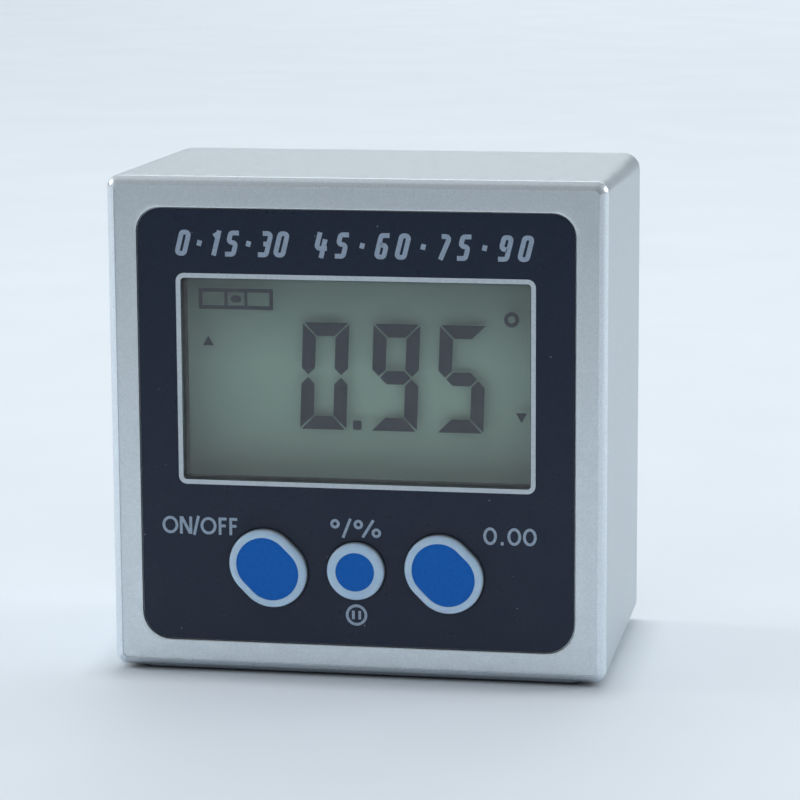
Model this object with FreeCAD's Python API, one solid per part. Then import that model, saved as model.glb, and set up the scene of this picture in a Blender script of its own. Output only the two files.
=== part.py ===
"""Digital inclinometer: a square aluminium box with a display, three push buttons and a battery bay.

All lengths are in millimetres. +X is to the viewer's right, +Y points away from the viewer, +Z is up.
The origin is at the bottom centre of the whole part. Depths are counted from the case's front rim.
"""

import FreeCAD, Part
import math
import os

# Case: the cast box, open at the back
case_width = 55.0
case_height = 54.8
case_depth = 32.3
case_wall = 2.5
front_wall = 2.6
edge_radius_front = 1.25
edge_radius_back = 1.9
cavity_corner_radius = 1.2
front_bevel = 0.9
rim_land = 0.06
face_drop = 0.12
face_corner_radius = 0.55

# Base pad: the machined face that the case stands on, and its magnets
pad_height = 0.5
pad_side_inset = 2.8
pad_front_inset = 1.6
pad_back_inset = 1.6
pad_corner_radius = 1.2
magnet_radius = 3.5
magnet_length = 2.3
magnet_sink = 0.1
magnet_clearance = 0.03
magnet_side_offset = 16.0
magnet_depth_offset = 7.5

# Front label and the pocket that it lies in
label_side_border = 3.45
label_bottom_border = 3.3
label_top_border = 3.5
label_thickness = 0.4
label_drop = 0.08
label_gap = 0.12
label_top_radius = 2.5
label_bottom_radius = 3.1

# Window lens: a stepped clear pane, its flange held under the label
window_side_border = 4.8
window_top_border = 7.6
window_sill_height = 21.4
window_corner_radius = 0.35
lens_gap = 0.02
lens_flange = 2.0
lens_flange_thickness = 0.8
lens_flange_gap = 0.1

# Display cell: two glass plates with a polariser on each side
display_drop = 4.2
polariser_thickness = 0.2
reflector_thickness = 0.25
glass_thickness = 1.1
glass_side_margin = 1.35
glass_bottom_margin = 1.18
glass_top_margin = 1.08
contact_ledge = 2.0
polariser_inset = 0.3

# Display frame: the black holder round the display, its collar lining the window
collar_clearance = 0.2
collar_wall = 0.75
collar_fit = 0.15
display_fit = 0.15
frame_wall = 0.85
gasket_thickness = 0.4

# Contact strip and foam strip between the display and the board
contact_strip_thickness = 1.2
contact_strip_side_inset = 1.1
contact_strip_gap = 0.4
foam_strip_side_inset = 3.6
foam_strip_height = 2.5
foam_strip_rise = 1.0

# Circuit board and the posts that carry it
board_thickness = 1.6
board_clearance = 0.5
standoff_radius = 1.8
standoff_web = 1.2
upper_standoff_offset = 8.0
upper_standoff_drop = 2.3
lower_standoff_wall_gap = 5.4
lower_standoff_height = 12.2
board_screw_radius = 0.95
board_screw_length = 5.0
board_screw_head_radius = 1.75
board_screw_head_height = 1.15
screw_clearance = 0.05
board_hole_clearance = 0.15
screw_tip_room = 0.6
recess_arm_share = 0.6
recess_blade_share = 0.16
recess_depth_share = 0.6
head_round_share = 0.45

# Buttons: milky cap with a blue inlay, retained by a flange behind the front wall
button_height = 11.7
button_spacing = 9.8
button_proud = 0.72
button_half_width = 3.85
button_half_run = 0.72
button_lean = 45.0
round_button_radius = 3.2
button_rim = 0.87
round_button_rim = 1.05
button_edge_radius = 0.5
button_clearance = 0.15
button_travel = 0.4
inlay_thickness = 0.6
inlay_drop = 0.04
inlay_fit = 0.02
flange_width = 0.7
flange_thickness = 0.8
flange_gap = 0.05
button_stem_radius = 1.5
button_stem_length = 0.85

# Push switches on the board, one under each button
switch_side = 6.2
switch_height = 3.2
switch_corner_radius = 0.5
switch_cover_thickness = 0.3
switch_cover_inset = 0.15
plunger_radius = 1.7
plunger_collar_radius = 2.3
plunger_collar_height = 0.85
plunger_nib_radius = 0.75
plunger_clearance = 0.08
plunger_stand = 0.8
dome_radius = 2.2
dome_height = 0.55
dome_sheet = 0.12
dome_gap = 0.1
switch_floor = 0.9
switch_leg_width = 0.8
switch_leg_thickness = 0.2
switch_leg_reach = 1.1
switch_leg_spacing = 4.4

# Parts on the back of the board
chip_side = 9.0
chip_height = 1.5
chip_leg_count = 11
chip_leg_width = 0.3
chip_leg_reach = 0.9
chip_leg_thickness = 0.2
chip_leg_share = 0.85
chip_edge_gap = 18.5
chip_centre_height = 29.0
sensor_side = 5.0
sensor_height = 1.8
sensor_offset = 7.0
sensor_centre_height = 30.5
sensor_lid_inset = 0.5
sensor_lid_height = 0.2
crystal_radius = 1.0
crystal_length = 6.0
crystal_edge_gap = 8.0
crystal_centre_height = 26.0
crystal_lead_radius = 0.2
crystal_lead_length = 2.0
crystal_lead_spacing = 0.7
electrolytic_radius = 2.0
electrolytic_height = 4.0
electrolytic_edge_gap = 10.3
electrolytic_centre_height = 8.4
electrolytic_base_side = 4.3
electrolytic_base_height = 0.6
chip_part_length = 1.6
chip_part_width = 0.8
chip_part_height = 0.6
chip_part_pitch = 2.6
capacitor_count = 6
capacitor_row_edge_gap = 10.5
capacitor_row_gap = 1.5
resistor_count = 7
resistor_row_edge_gap = 10.0
resistor_row_gap = 2.1

# Back cover with the battery bay
cover_drop = 0.3
cover_thickness = 2.4
cover_rim_wall = 1.3
cover_fit = 0.15
cover_corner_radius = 1.2
post_radius = 2.2
post_offset = 2.1
post_notch_clearance = 0.4
cover_screw_radius = 1.0
cover_screw_length = 9.0
cover_screw_head_radius = 1.9
cover_screw_head_height = 1.3
cover_screw_sink = 0.1
cover_screw_head_clearance = 0.2

# Battery bay: it fills the case's width, the cells fill the bay, and they share the depth behind
# the board with the parts on it
cell_room_share = 0.59
bay_side_gap = 0.5
cell_nub_radius = 1.9
cell_nub_height = 0.9
cell_end_recess = 0.15
cell_spacing_gap = 0.6
cell_wall_gap = 0.3
cell_floor_gap = 0.1
bay_wall = 1.0
bay_rib_width = 1.6
bay_rib_height = 1.8
bay_lip = 0.6
spring_room = 1.9
spring_wire_radius = 0.22
spring_base_share = 0.65
spring_tip_share = 0.44
spring_turns = 3
contact_thickness = 0.3
contact_height_share = 0.82
contact_depth_share = 0.72
contact_tail_width = 2.2
contact_tail_length = 1.6
contact_slot_clearance = 0.1

# Battery door: drops into the cover, turns about its lower outer edge
door_thickness = 1.4
door_ledge = 1.0
door_fit = 0.15
door_corner_radius = 1.0
door_tongue_width = 6.0
door_tongue_length = 1.5
door_tongue_thickness = 0.75
door_tongue_offset = 13.0
door_tongue_clearance = 0.1
door_latch_width = 9.0
door_latch_slit = 0.6
door_latch_length = 3.4
door_grip_count = 4
door_grip_width = 11.0
door_grip_depth = 0.35
door_grip_groove = 0.5
door_grip_pitch = 1.2
door_grip_drop = 6.2
finger_notch_radius = 4.2
finger_notch_depth = 1.1
door_pad_side_inset = 3.9
door_pad_end_inset = 2.6
door_pad_thickness = 0.8
door_pad_gap = 0.3

# Leads from the battery contacts to the board
lead_radius = 0.5
lead_pad_radius = 1.1
lead_pad_height = 0.7
lead_seat_gap = 0.05
lead_arc_share = 0.45

# Where the leads are soldered and where they run: distance in from the right wall, then, on a route,
# distance behind the board, and last the height above the middle of the bay
red_pad = (15.4, -14.4)
black_pad = (16.4, -8.8)
red_lead_route = [(1.65, 3.3, -5.55), (5.2, 3.5, -11.1), (10.4, 3.1, -13.3), (15.4, 3.3, -14.4)]
black_lead_route = [(1.65, 3.3, 5.55), (7.5, 3.5, 1.1), (11.8, 3.0, -5.1), (16.4, 3.3, -8.8)]

# One overrun serves every cut that has to pass a face
overrun = 1.0

# A square package's sides, and the turn from one to the next in degrees
package_sides = 4
quarter_turn = 90.0

# Places worked out from the sizes above
overall_depth = case_depth + button_proud
front = button_proud - overall_depth / 2
underside = pad_height
case_top = underside + case_height
half_width = case_width / 2
cavity_half_width = half_width - case_wall
cavity_floor = underside + case_wall
cavity_top = case_top - case_wall
label_half_width = half_width - label_side_border
label_bottom = underside + label_bottom_border
label_top = case_top - label_top_border
label_front = face_drop + label_drop
label_back = label_front + label_thickness
window_half_width = label_half_width - window_side_border
window_bottom = underside + window_sill_height
window_top = label_top - window_top_border
lens_back = label_back + lens_flange_thickness
collar_outer = collar_clearance + collar_wall
collar_front = lens_back + gasket_thickness
display_front = label_front + display_drop
front_glass_depth = display_front + polariser_thickness
rear_glass_depth = front_glass_depth + glass_thickness
reflector_depth = rear_glass_depth + glass_thickness
display_back = reflector_depth + reflector_thickness
glass_half_width = window_half_width + glass_side_margin
glass_bottom = window_bottom - glass_bottom_margin
rear_glass_top = window_top + glass_top_margin
front_glass_top = rear_glass_top + contact_ledge
frame_half_width = glass_half_width + display_fit + frame_wall
frame_bottom = glass_bottom - display_fit - frame_wall
frame_top = front_glass_top + display_fit + frame_wall
button_level = underside + button_height
inlay_front = inlay_drop - button_proud
flange_depth = front_wall + flange_gap
stem_depth = flange_depth + flange_thickness
plunger_tip = stem_depth + button_stem_length
switch_front = plunger_tip + button_travel + plunger_stand
switch_depth = switch_front + switch_cover_thickness
board_depth = switch_depth + switch_height
board_back = board_depth + board_thickness
board_half_width = cavity_half_width - board_clearance
cover_back = case_depth - cover_drop
cover_front = cover_back - cover_thickness
door_front = cover_back - door_thickness
bay_level = underside + case_height / 2
cell_back = door_front - door_pad_thickness - door_pad_gap
room_behind_board = cell_back - cell_floor_gap - bay_wall - board_back
cell_radius = room_behind_board * cell_room_share / 2
cell_depth = cell_back - cell_radius
bay_floor = cell_depth - cell_radius - cell_floor_gap
bay_under = bay_floor - bay_wall
cell_offset = cell_radius + cell_spacing_gap / 2
spring_base_radius = cell_radius * spring_base_share
spring_tip_radius = cell_radius * spring_tip_share
contact_half_height = cell_radius * contact_height_share
contact_half_depth = cell_radius * contact_depth_share
bay_half_height = cell_offset + cell_radius + cell_wall_gap
bay_half_width = cavity_half_width - bay_side_gap - bay_wall
cell_length = 2 * (bay_half_width - contact_thickness) - spring_room
opening_half_width = bay_half_width - bay_lip
door_half_width = opening_half_width + door_ledge
door_half_height = bay_half_height + door_ledge
door_low = bay_level - door_half_height + door_fit
door_high = bay_level + door_half_height - door_fit
crystal_offset = crystal_edge_gap - board_half_width
chip_offset = chip_edge_gap - board_half_width
chip_level = underside + chip_centre_height
chip_reach = chip_side / 2 + chip_leg_reach
electrolytic_offset = electrolytic_edge_gap - board_half_width
post_x = cavity_half_width - post_offset
lower_post = cavity_floor + post_offset
upper_post = cavity_top - post_offset

# The three buttons: place along X, half width of the outline, half run of the outline, rim width
buttons = {
    "power": (-button_spacing, button_half_width, button_half_run, button_rim),
    "mode": (0, round_button_radius, 0, round_button_rim),
    "zero": (button_spacing, button_half_width, button_half_run, button_rim),
}


def point(x, depth, z):
    """A point of the part from its place across, its depth behind the front rim and its height."""
    return FreeCAD.Vector(x, front + depth, z)


def block(low_x, high_x, low_depth, high_depth, low_z, high_z):
    """A box between two depths."""
    return Part.makeBox(
        high_x - low_x, high_depth - low_depth, high_z - low_z, point(low_x, low_depth, low_z)
    )


def disc(x, z, radius, low_depth, high_depth):
    """A cylinder whose axis runs front to back."""
    along = FreeCAD.Vector(0, 1, 0)
    return Part.makeCylinder(radius, high_depth - low_depth, point(x, low_depth, z), along)


def outline(corners, radii, depth):
    """A closed wire through the corners, each rounded by its radius, at one depth."""
    count = len(corners)
    tangents = []
    for i in range(count):
        here = point(corners[i][0], depth, corners[i][1])
        before = point(corners[i - 1][0], depth, corners[i - 1][1])
        after = point(corners[(i + 1) % count][0], depth, corners[(i + 1) % count][1])
        back = (before - here).normalize()
        on = (after - here).normalize()
        reach = radii[i] / math.tan(back.getAngle(on) / 2)
        bisector = (back + on).normalize()
        centre_reach = radii[i] / math.sin(back.getAngle(on) / 2)
        middle = here + bisector * (centre_reach - radii[i])
        tangents.append((here + back * reach, middle, here + on * reach))
    edges = []
    for i in range(count):
        start, middle, end = tangents[i]
        edges.append(Part.Arc(start, middle, end).toShape())
        edges.append(Part.LineSegment(end, tangents[(i + 1) % count][0]).toShape())
    return Part.Wire(edges)


def plate(half_x, low_z, high_z, low_radius, high_radius, low_depth, high_depth):
    """A flat plate about the middle plane, its lower and upper corners rounded."""
    corners = [(-half_x, low_z), (half_x, low_z), (half_x, high_z), (-half_x, high_z)]
    radii = [low_radius, low_radius, high_radius, high_radius]
    face = Part.Face(outline(corners, radii, low_depth))
    return face.extrude(FreeCAD.Vector(0, high_depth - low_depth, 0))


def capsule(x, half_across, half_run, low_depth, high_depth):
    """A button's outline as a solid: a circle drawn out along the leaning line, low at the right."""
    if not half_run:
        return disc(x, button_level, half_across, low_depth, high_depth)
    lean = math.radians(button_lean)
    along = FreeCAD.Vector(math.cos(lean), 0, -math.sin(lean))
    across = FreeCAD.Vector(math.sin(lean), 0, math.cos(lean))
    centre = point(x, low_depth, button_level)
    low_end = centre + along * half_run
    high_end = centre - along * half_run
    edges = [
        Part.Arc(
            low_end + across * half_across,
            low_end + along * half_across,
            low_end - across * half_across,
        ).toShape(),
        Part.LineSegment(low_end - across * half_across, high_end - across * half_across).toShape(),
        Part.Arc(
            high_end - across * half_across,
            high_end - along * half_across,
            high_end + across * half_across,
        ).toShape(),
        Part.LineSegment(high_end + across * half_across, low_end + across * half_across).toShape(),
    ]
    face = Part.Face(Part.Wire(edges))
    return face.extrude(FreeCAD.Vector(0, high_depth - low_depth, 0))


def joined(shapes):
    """One solid out of several that meet."""
    whole = shapes[0]
    for shape in shapes[1:]:
        whole = whole.fuse(shape)
    return whole.removeSplitter()


def group(shapes):
    """Separate solids of one kind, kept together."""
    return Part.makeCompound(shapes)


def edges_at(shape, depth):
    """The edges of a shape that lie at one depth."""
    found = []
    for edge in shape.Edges:
        offsets = [abs(vertex.Point.y - front - depth) for vertex in edge.Vertexes]
        if max(offsets) < Part.Precision.confusion():
            found.append(edge)
    return found


def edge_along(shape, x, z):
    """The edge of a block that runs front to back through one place."""
    for edge in shape.Edges:
        offsets = [abs(end.Point.x - x) + abs(end.Point.z - z) for end in edge.Vertexes]
        if max(offsets) < Part.Precision.confusion():
            return edge


def case_body():
    """The outer block: four long edges whose rounding widens to the back, and a bevelled front rim."""
    body = block(-half_width, half_width, 0, case_depth, underside, case_top)
    for x in (-half_width, half_width):
        for z in (underside, case_top):
            edge = edge_along(body, x, z)
            radii = [edge_radius_front, edge_radius_back]
            if edge.Vertexes[0].Point.y > edge.Vertexes[-1].Point.y:
                radii.reverse()
            body = body.makeFillet(*radii, [edge])
    return body.makeChamfer(front_bevel, edges_at(body, 0))


def base_pad():
    """The raised face under the case."""
    half_pad = half_width - pad_side_inset
    back_depth = case_depth - pad_back_inset
    pad = block(-half_pad, half_pad, pad_front_inset, back_depth, 0, cavity_floor)
    upright = [edge for edge in pad.Edges if edge.Vertexes[0].Point.z != edge.Vertexes[-1].Point.z]
    return pad.makeFillet(pad_corner_radius, upright)


def magnet_places():
    """Where the base magnets sit: place across and depth."""
    middle = case_depth / 2
    depths = (middle - magnet_depth_offset, middle + magnet_depth_offset)
    return [(x, depth) for x in (-magnet_side_offset, magnet_side_offset) for depth in depths]


def post_places():
    """The four corner posts that take the cover screws."""
    return [(x, z) for x in (-post_x, post_x) for z in (lower_post, upper_post)]


def lower_standoffs():
    """The two free-standing posts that carry the board beside the buttons."""
    offset = cavity_half_width - lower_standoff_wall_gap
    level = underside + lower_standoff_height
    return [(x, level) for x in (-offset, offset)]


def upper_standoffs():
    """The two posts that carry the board above the display."""
    level = cavity_top - upper_standoff_drop
    return [(x, level) for x in (-upper_standoff_offset, upper_standoff_offset)]


def standoff_places():
    return lower_standoffs() + upper_standoffs()


def case():
    """Cast box with its base pad, corner posts and board posts, cut out for all that it holds."""
    shell = case_body().fuse(base_pad())
    shell = shell.cut(
        plate(
            cavity_half_width,
            cavity_floor,
            cavity_top,
            cavity_corner_radius,
            cavity_corner_radius,
            front_wall,
            case_depth + overrun,
        )
    )
    added = [disc(x, z, post_radius, front_wall, cover_front) for x, z in post_places()]
    added += [disc(x, z, standoff_radius, front_wall, board_depth) for x, z in standoff_places()]
    half_web = standoff_web / 2
    for x, z in upper_standoffs():
        added.append(block(x - half_web, x + half_web, front_wall, board_depth, z, cavity_top))
    shell = joined([shell] + added)
    return shell.cut(group(case_recesses() + case_holes()))


def case_recesses():
    """Recessed front face, label pocket, seat of the lens, window and the seat of the back cover."""
    face_half_width = half_width - front_bevel - rim_land
    face_inset = front_bevel + rim_land
    radius = face_corner_radius
    seat = lens_flange + lens_flange_gap
    passage = collar_outer + collar_fit
    cover_radius = cover_corner_radius + cover_fit
    return [
        plate(
            face_half_width,
            underside + face_inset,
            case_top - face_inset,
            radius,
            radius,
            -overrun,
            face_drop,
        ),
        plate(
            label_half_width + label_gap,
            label_bottom - label_gap,
            label_top + label_gap,
            label_bottom_radius + label_gap,
            label_top_radius + label_gap,
            -overrun,
            label_back,
        ),
        window_plate(seat, window_corner_radius + seat, 0, lens_back),
        window_plate(passage, window_corner_radius + passage, 0, front_wall + overrun),
        plate(
            half_width - cover_rim_wall,
            underside + cover_rim_wall,
            case_top - cover_rim_wall,
            cover_radius,
            cover_radius,
            cover_front,
            case_depth + overrun,
        ),
    ]


def case_holes():
    """Button openings, screw holes and magnet pockets."""
    holes = []
    for x, half_across, half_run, _ in buttons.values():
        holes.append(capsule(x, half_across + button_clearance, half_run, 0, front_wall + overrun))
    for x, z in post_places():
        tip = cover_screw_seat() - cover_screw_length - screw_tip_room
        holes.append(disc(x, z, cover_screw_radius + screw_clearance, tip, cover_front + overrun))
    for x, z in standoff_places():
        tip = board_back - board_screw_length - screw_tip_room
        holes.append(disc(x, z, board_screw_radius + screw_clearance, tip, board_depth + overrun))
    pocket = magnet_sink + magnet_length + magnet_clearance
    for x, depth in magnet_places():
        low = point(x, depth, -overrun)
        holes.append(Part.makeCylinder(magnet_radius + magnet_clearance, pocket + overrun, low))
    return holes


def base_magnets():
    """Four disc magnets, sunk a little below the base face."""
    made = []
    for x, depth in magnet_places():
        made.append(Part.makeCylinder(magnet_radius, magnet_length, point(x, depth, magnet_sink)))
    return group(made)


def window_plate(margin, radius, low_depth, high_depth):
    """A plate with the window's outline, wider all round by a margin."""
    return plate(
        window_half_width + margin,
        window_bottom - margin,
        window_top + margin,
        radius,
        radius,
        low_depth,
        high_depth,
    )


def front_label():
    """Printed plate that lies in the case's pocket, open at the window and round each button."""
    label = plate(
        label_half_width,
        label_bottom,
        label_top,
        label_bottom_radius,
        label_top_radius,
        label_front,
        label_back,
    )
    holes = [window_plate(0, window_corner_radius, 0, label_back + overrun)]
    for x, half_across, half_run, _ in buttons.values():
        holes.append(capsule(x, half_across + button_clearance, half_run, 0, label_back + overrun))
    return label.cut(group(holes))


def window_lens():
    """Clear stepped pane: the front fills the label's window, the flange behind is held under the label."""
    front_part = window_plate(-lens_gap, window_corner_radius - lens_gap, label_front, label_back)
    flange = window_plate(lens_flange, window_corner_radius + lens_flange, label_back, lens_back)
    return joined([front_part, flange])


def dust_gasket():
    """Foam ring pressed between the lens and the display frame's collar."""
    ring = window_plate(collar_outer, window_corner_radius + collar_outer, lens_back, collar_front)
    return ring.cut(window_plate(collar_clearance, window_corner_radius, 0, board_depth))


def display_frame():
    """Black holder: a collar through the front wall, a shelf for the display and walls down to the board."""
    collar = window_plate(collar_outer, window_corner_radius + collar_outer, collar_front, display_front)
    walls = plate(
        frame_half_width,
        frame_bottom,
        frame_top,
        frame_wall,
        frame_wall,
        front_wall,
        board_depth,
    )
    view = window_plate(collar_clearance, window_corner_radius, 0, board_depth)
    pocket = block(
        -glass_half_width - display_fit,
        glass_half_width + display_fit,
        display_front,
        board_depth + overrun,
        glass_bottom - display_fit,
        front_glass_top + display_fit,
    )
    return joined([collar, walls]).cut(view).cut(pocket)


def display_layer(inset, top, low_depth, high_depth):
    """One flat layer of the display."""
    half = glass_half_width - inset
    return block(-half, half, low_depth, high_depth, glass_bottom + inset, top - inset)


def display_front_polariser():
    return display_layer(polariser_inset, rear_glass_top, display_front, front_glass_depth)


def display_front_glass():
    return display_layer(0, front_glass_top, front_glass_depth, rear_glass_depth)


def display_rear_glass():
    return display_layer(0, rear_glass_top, rear_glass_depth, reflector_depth)


def display_reflector():
    return display_layer(polariser_inset, rear_glass_top, reflector_depth, display_back)


def contact_strip():
    """Striped rubber strip that joins the glass ledge's contacts to the board."""
    half = glass_half_width - contact_strip_side_inset
    low = rear_glass_top + contact_strip_gap
    return block(-half, half, rear_glass_depth, board_depth, low, low + contact_strip_thickness)


def foam_strip():
    """Foam that presses the display's lower edge against its shelf."""
    half = glass_half_width - foam_strip_side_inset
    low = glass_bottom + foam_strip_rise
    return block(-half, half, display_back, board_depth, low, low + foam_strip_height)


def circuit_board():
    """The board, notched at the corner posts and drilled for its screws."""
    low = cavity_floor + board_clearance
    high = cavity_top - board_clearance
    cuts = []
    reach = post_radius + post_notch_clearance
    depths = (board_depth - overrun, board_back + overrun)
    for x, z in post_places():
        cuts.append(block(x - reach, x + reach, *depths, z - reach, z + reach))
    for x, z in standoff_places():
        cuts.append(disc(x, z, board_screw_radius + board_hole_clearance, *depths))
    board = block(-board_half_width, board_half_width, board_depth, board_back, low, high)
    return board.cut(group(cuts))


def screw(x, z, seat, radius, length, head_radius, head_height):
    """A cross-headed screw driven towards the front, its head resting on the seat."""
    head = disc(x, z, head_radius, seat, seat + head_height)
    head = head.makeFillet(head_height * head_round_share, edges_at(head, seat + head_height))
    arm = head_radius * recess_arm_share
    blade = head_radius * recess_blade_share
    floor = seat + head_height - head_height * recess_depth_share
    top = seat + head_height + overrun
    cross = block(x - arm, x + arm, floor, top, z - blade, z + blade).fuse(
        block(x - blade, x + blade, floor, top, z - arm, z + arm)
    )
    return joined([head.cut(cross), disc(x, z, radius, seat - length, seat)])


def board_screws():
    return group(
        [
            screw(
                x,
                z,
                board_back,
                board_screw_radius,
                board_screw_length,
                board_screw_head_radius,
                board_screw_head_height,
            )
            for x, z in standoff_places()
        ]
    )


def cover_screw_seat():
    """The depth that the cover screws' heads rest at."""
    return cover_back - cover_screw_sink - cover_screw_head_height


def cover_screws():
    return group(
        [
            screw(
                x,
                z,
                cover_screw_seat(),
                cover_screw_radius,
                cover_screw_length,
                cover_screw_head_radius,
                cover_screw_head_height,
            )
            for x, z in post_places()
        ]
    )


def controller_chip():
    half = chip_side / 2
    low = board_back + chip_leg_thickness
    high = low + chip_height
    sides = (chip_offset - half, chip_offset + half)
    body = block(*sides, low, high, chip_level - half, chip_level + half)
    return body.makeChamfer(chip_leg_thickness, edges_at(body, high))


def controller_legs():
    """Rows of flat legs along the chip's four sides."""
    centre = point(chip_offset, board_back, chip_level)
    pitch = chip_side * chip_leg_share / (chip_leg_count - 1)
    half_leg = chip_leg_width / 2
    legs = []
    for side in range(package_sides):
        for i in range(chip_leg_count):
            along = (i - (chip_leg_count - 1) / 2) * pitch
            leg = block(
                chip_offset + along - half_leg,
                chip_offset + along + half_leg,
                board_back,
                board_back + chip_leg_thickness,
                chip_level + chip_side / 2 - chip_leg_reach,
                chip_level + chip_reach,
            )
            leg.rotate(centre, FreeCAD.Vector(0, 1, 0), side * quarter_turn)
            legs.append(leg)
    return group(legs)


def tilt_sensor():
    """Square sensor package with a thin metal lid."""
    half = sensor_side / 2
    lid = half - sensor_lid_inset
    level = underside + sensor_centre_height
    top = board_back + sensor_height
    body = block(sensor_offset - half, sensor_offset + half, board_back, top, level - half, level + half)
    cap = block(
        sensor_offset - lid,
        sensor_offset + lid,
        top,
        top + sensor_lid_height,
        level - lid,
        level + lid,
    )
    return joined([body, cap])


def crystal():
    """A small can that lies on the board, with its two leads."""
    level = underside + crystal_centre_height
    up = FreeCAD.Vector(0, 0, 1)
    depth = board_back + crystal_radius
    parts = [Part.makeCylinder(crystal_radius, crystal_length, point(crystal_offset, depth, level), up)]
    half_spacing = crystal_lead_spacing / 2
    for x in (crystal_offset - half_spacing, crystal_offset + half_spacing):
        start = point(x, depth, level - crystal_lead_length)
        parts.append(Part.makeCylinder(crystal_lead_radius, crystal_lead_length, start, up))
    return joined(parts)


def electrolytic_capacitor():
    """Round can on its square plastic foot."""
    half = electrolytic_base_side / 2
    level = underside + electrolytic_centre_height
    top = board_back + electrolytic_base_height
    foot = block(
        electrolytic_offset - half,
        electrolytic_offset + half,
        board_back,
        top,
        level - half,
        level + half,
    )
    can = disc(electrolytic_offset, level, electrolytic_radius, top, top + electrolytic_height)
    return joined([foot, can])


def chip_row(count, edge_gap, level):
    """A row of small two-ended parts on the back of the board, begun at a gap from its left edge."""
    half = chip_part_width / 2
    parts = []
    for i in range(count):
        x = edge_gap - board_half_width + i * chip_part_pitch
        parts.append(
            block(
                x - half,
                x + half,
                board_back,
                board_back + chip_part_height,
                level,
                level + chip_part_length,
            )
        )
    return group(parts)


def chip_capacitors():
    level = chip_level - chip_reach - capacitor_row_gap - chip_part_length
    return chip_row(capacitor_count, capacitor_row_edge_gap, level)


def chip_resistors():
    return chip_row(resistor_count, resistor_row_edge_gap, chip_level + chip_reach + resistor_row_gap)


def button_cap(x, half_across, half_run, rim):
    """Milky cap: rounded front edge, pocket for the inlay, retaining flange and the stem behind."""
    body = capsule(x, half_across, half_run, -button_proud, flange_depth)
    body = body.makeFillet(button_edge_radius, edges_at(body, -button_proud))
    flange = capsule(x, half_across + flange_width, half_run, flange_depth, stem_depth)
    stem = disc(x, button_level, button_stem_radius, stem_depth, plunger_tip)
    half_pocket = half_across - rim + inlay_fit
    pocket = capsule(x, half_pocket, half_run, -button_proud - overrun, inlay_front + inlay_thickness)
    return joined([body, flange, stem]).cut(pocket)


def button_inlay(x, half_across, half_run, rim):
    """Blue inlay, flush in the cap's pocket."""
    return capsule(x, half_across - rim, half_run, inlay_front, inlay_front + inlay_thickness)


def plunger(x):
    """Switch plunger: the button pushed by the cap, its collar under the switch's cover, a nib below."""
    collar_depth = switch_depth + flange_gap
    collar_end = collar_depth + plunger_collar_height
    nib_end = board_depth - switch_floor - dome_height - dome_gap
    return joined(
        [
            disc(x, button_level, plunger_radius, plunger_tip, collar_depth),
            disc(x, button_level, plunger_collar_radius, collar_depth, collar_end),
            disc(x, button_level, plunger_nib_radius, collar_end, nib_end),
        ]
    )


def snap_dome(x):
    """Thin sprung dome on the switch's floor: the cap of a sphere, hollow below."""
    rise = dome_height
    radius = (dome_radius**2 + rise**2) / (2 * rise)
    foot = board_depth - switch_floor
    centre = point(x, foot - rise + radius, button_level)
    ball = Part.makeSphere(radius, centre).cut(Part.makeSphere(radius - dome_sheet, centre))
    return ball.common(disc(x, button_level, dome_radius, foot - rise, foot))


def switch_bodies():
    """Square switch housings on the board, hollow for the plunger and the dome."""
    half = switch_side / 2
    low = button_level - half
    high = button_level + half
    made = []
    for x, _, _, _ in buttons.values():
        body = block(x - half, x + half, switch_depth, board_depth, low, high)
        places = [(x + side, button_level + end) for side in (-half, half) for end in (-half, half)]
        body = body.makeFillet(switch_corner_radius, [edge_along(body, *place) for place in places])
        bore = plunger_collar_radius + plunger_clearance
        made.append(body.cut(disc(x, button_level, bore, 0, board_depth - switch_floor)))
    return group(made)


def switch_covers():
    """Steel plates that close the switches, each holding its plunger by the collar."""
    half = switch_side / 2 - switch_cover_inset
    low = button_level - half
    high = button_level + half
    made = []
    for x, _, _, _ in buttons.values():
        sheet = block(x - half, x + half, switch_front, switch_depth, low, high)
        made.append(sheet.cut(disc(x, button_level, plunger_radius + plunger_clearance, 0, board_depth)))
    return group(made)


def switch_terminals():
    """Four flat legs to each switch, lying on the board."""
    half_leg = switch_leg_width / 2
    half_spacing = switch_leg_spacing / 2
    made = []
    for x, _, _, _ in buttons.values():
        for side in (-1, 1):
            edge = x + side * switch_side / 2
            ends = sorted((edge, edge + side * switch_leg_reach))
            for z in (button_level - half_spacing, button_level + half_spacing):
                low = board_depth - switch_leg_thickness
                made.append(block(*ends, low, board_depth, z - half_leg, z + half_leg))
    return group(made)


def back_cover():
    """Black cover with the battery bay moulded on, the door's seat, and holes for its screws."""
    radius = cover_corner_radius
    inset = cover_rim_wall + cover_fit
    skin = plate(
        half_width - inset,
        underside + inset,
        case_top - inset,
        radius,
        radius,
        cover_front,
        cover_back,
    )
    outer_width = bay_half_width + bay_wall
    outer_height = bay_half_height + bay_wall
    box = block(
        -outer_width,
        outer_width,
        bay_under,
        cover_front,
        bay_level - outer_height,
        bay_level + outer_height,
    )
    whole = joined([skin, box]).cut(bay_space())
    whole = whole.fuse(bay_rib())
    return whole.cut(group(cover_cuts())).removeSplitter()


def bay_space():
    """The room inside the bay, and the narrower opening that the cells go in through."""
    low = bay_level - bay_half_height
    high = bay_level + bay_half_height
    room = block(-bay_half_width, bay_half_width, bay_floor, cover_front, low, high)
    opening = block(-opening_half_width, opening_half_width, bay_floor, cover_back + overrun, low, high)
    return room.fuse(opening)


def bay_rib():
    """Low rib between the two cells."""
    half = bay_rib_width / 2
    high = bay_floor + bay_rib_height
    length = cell_length / 2 - cell_radius
    return block(-length, length, bay_floor, high, bay_level - half, bay_level + half)


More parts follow.
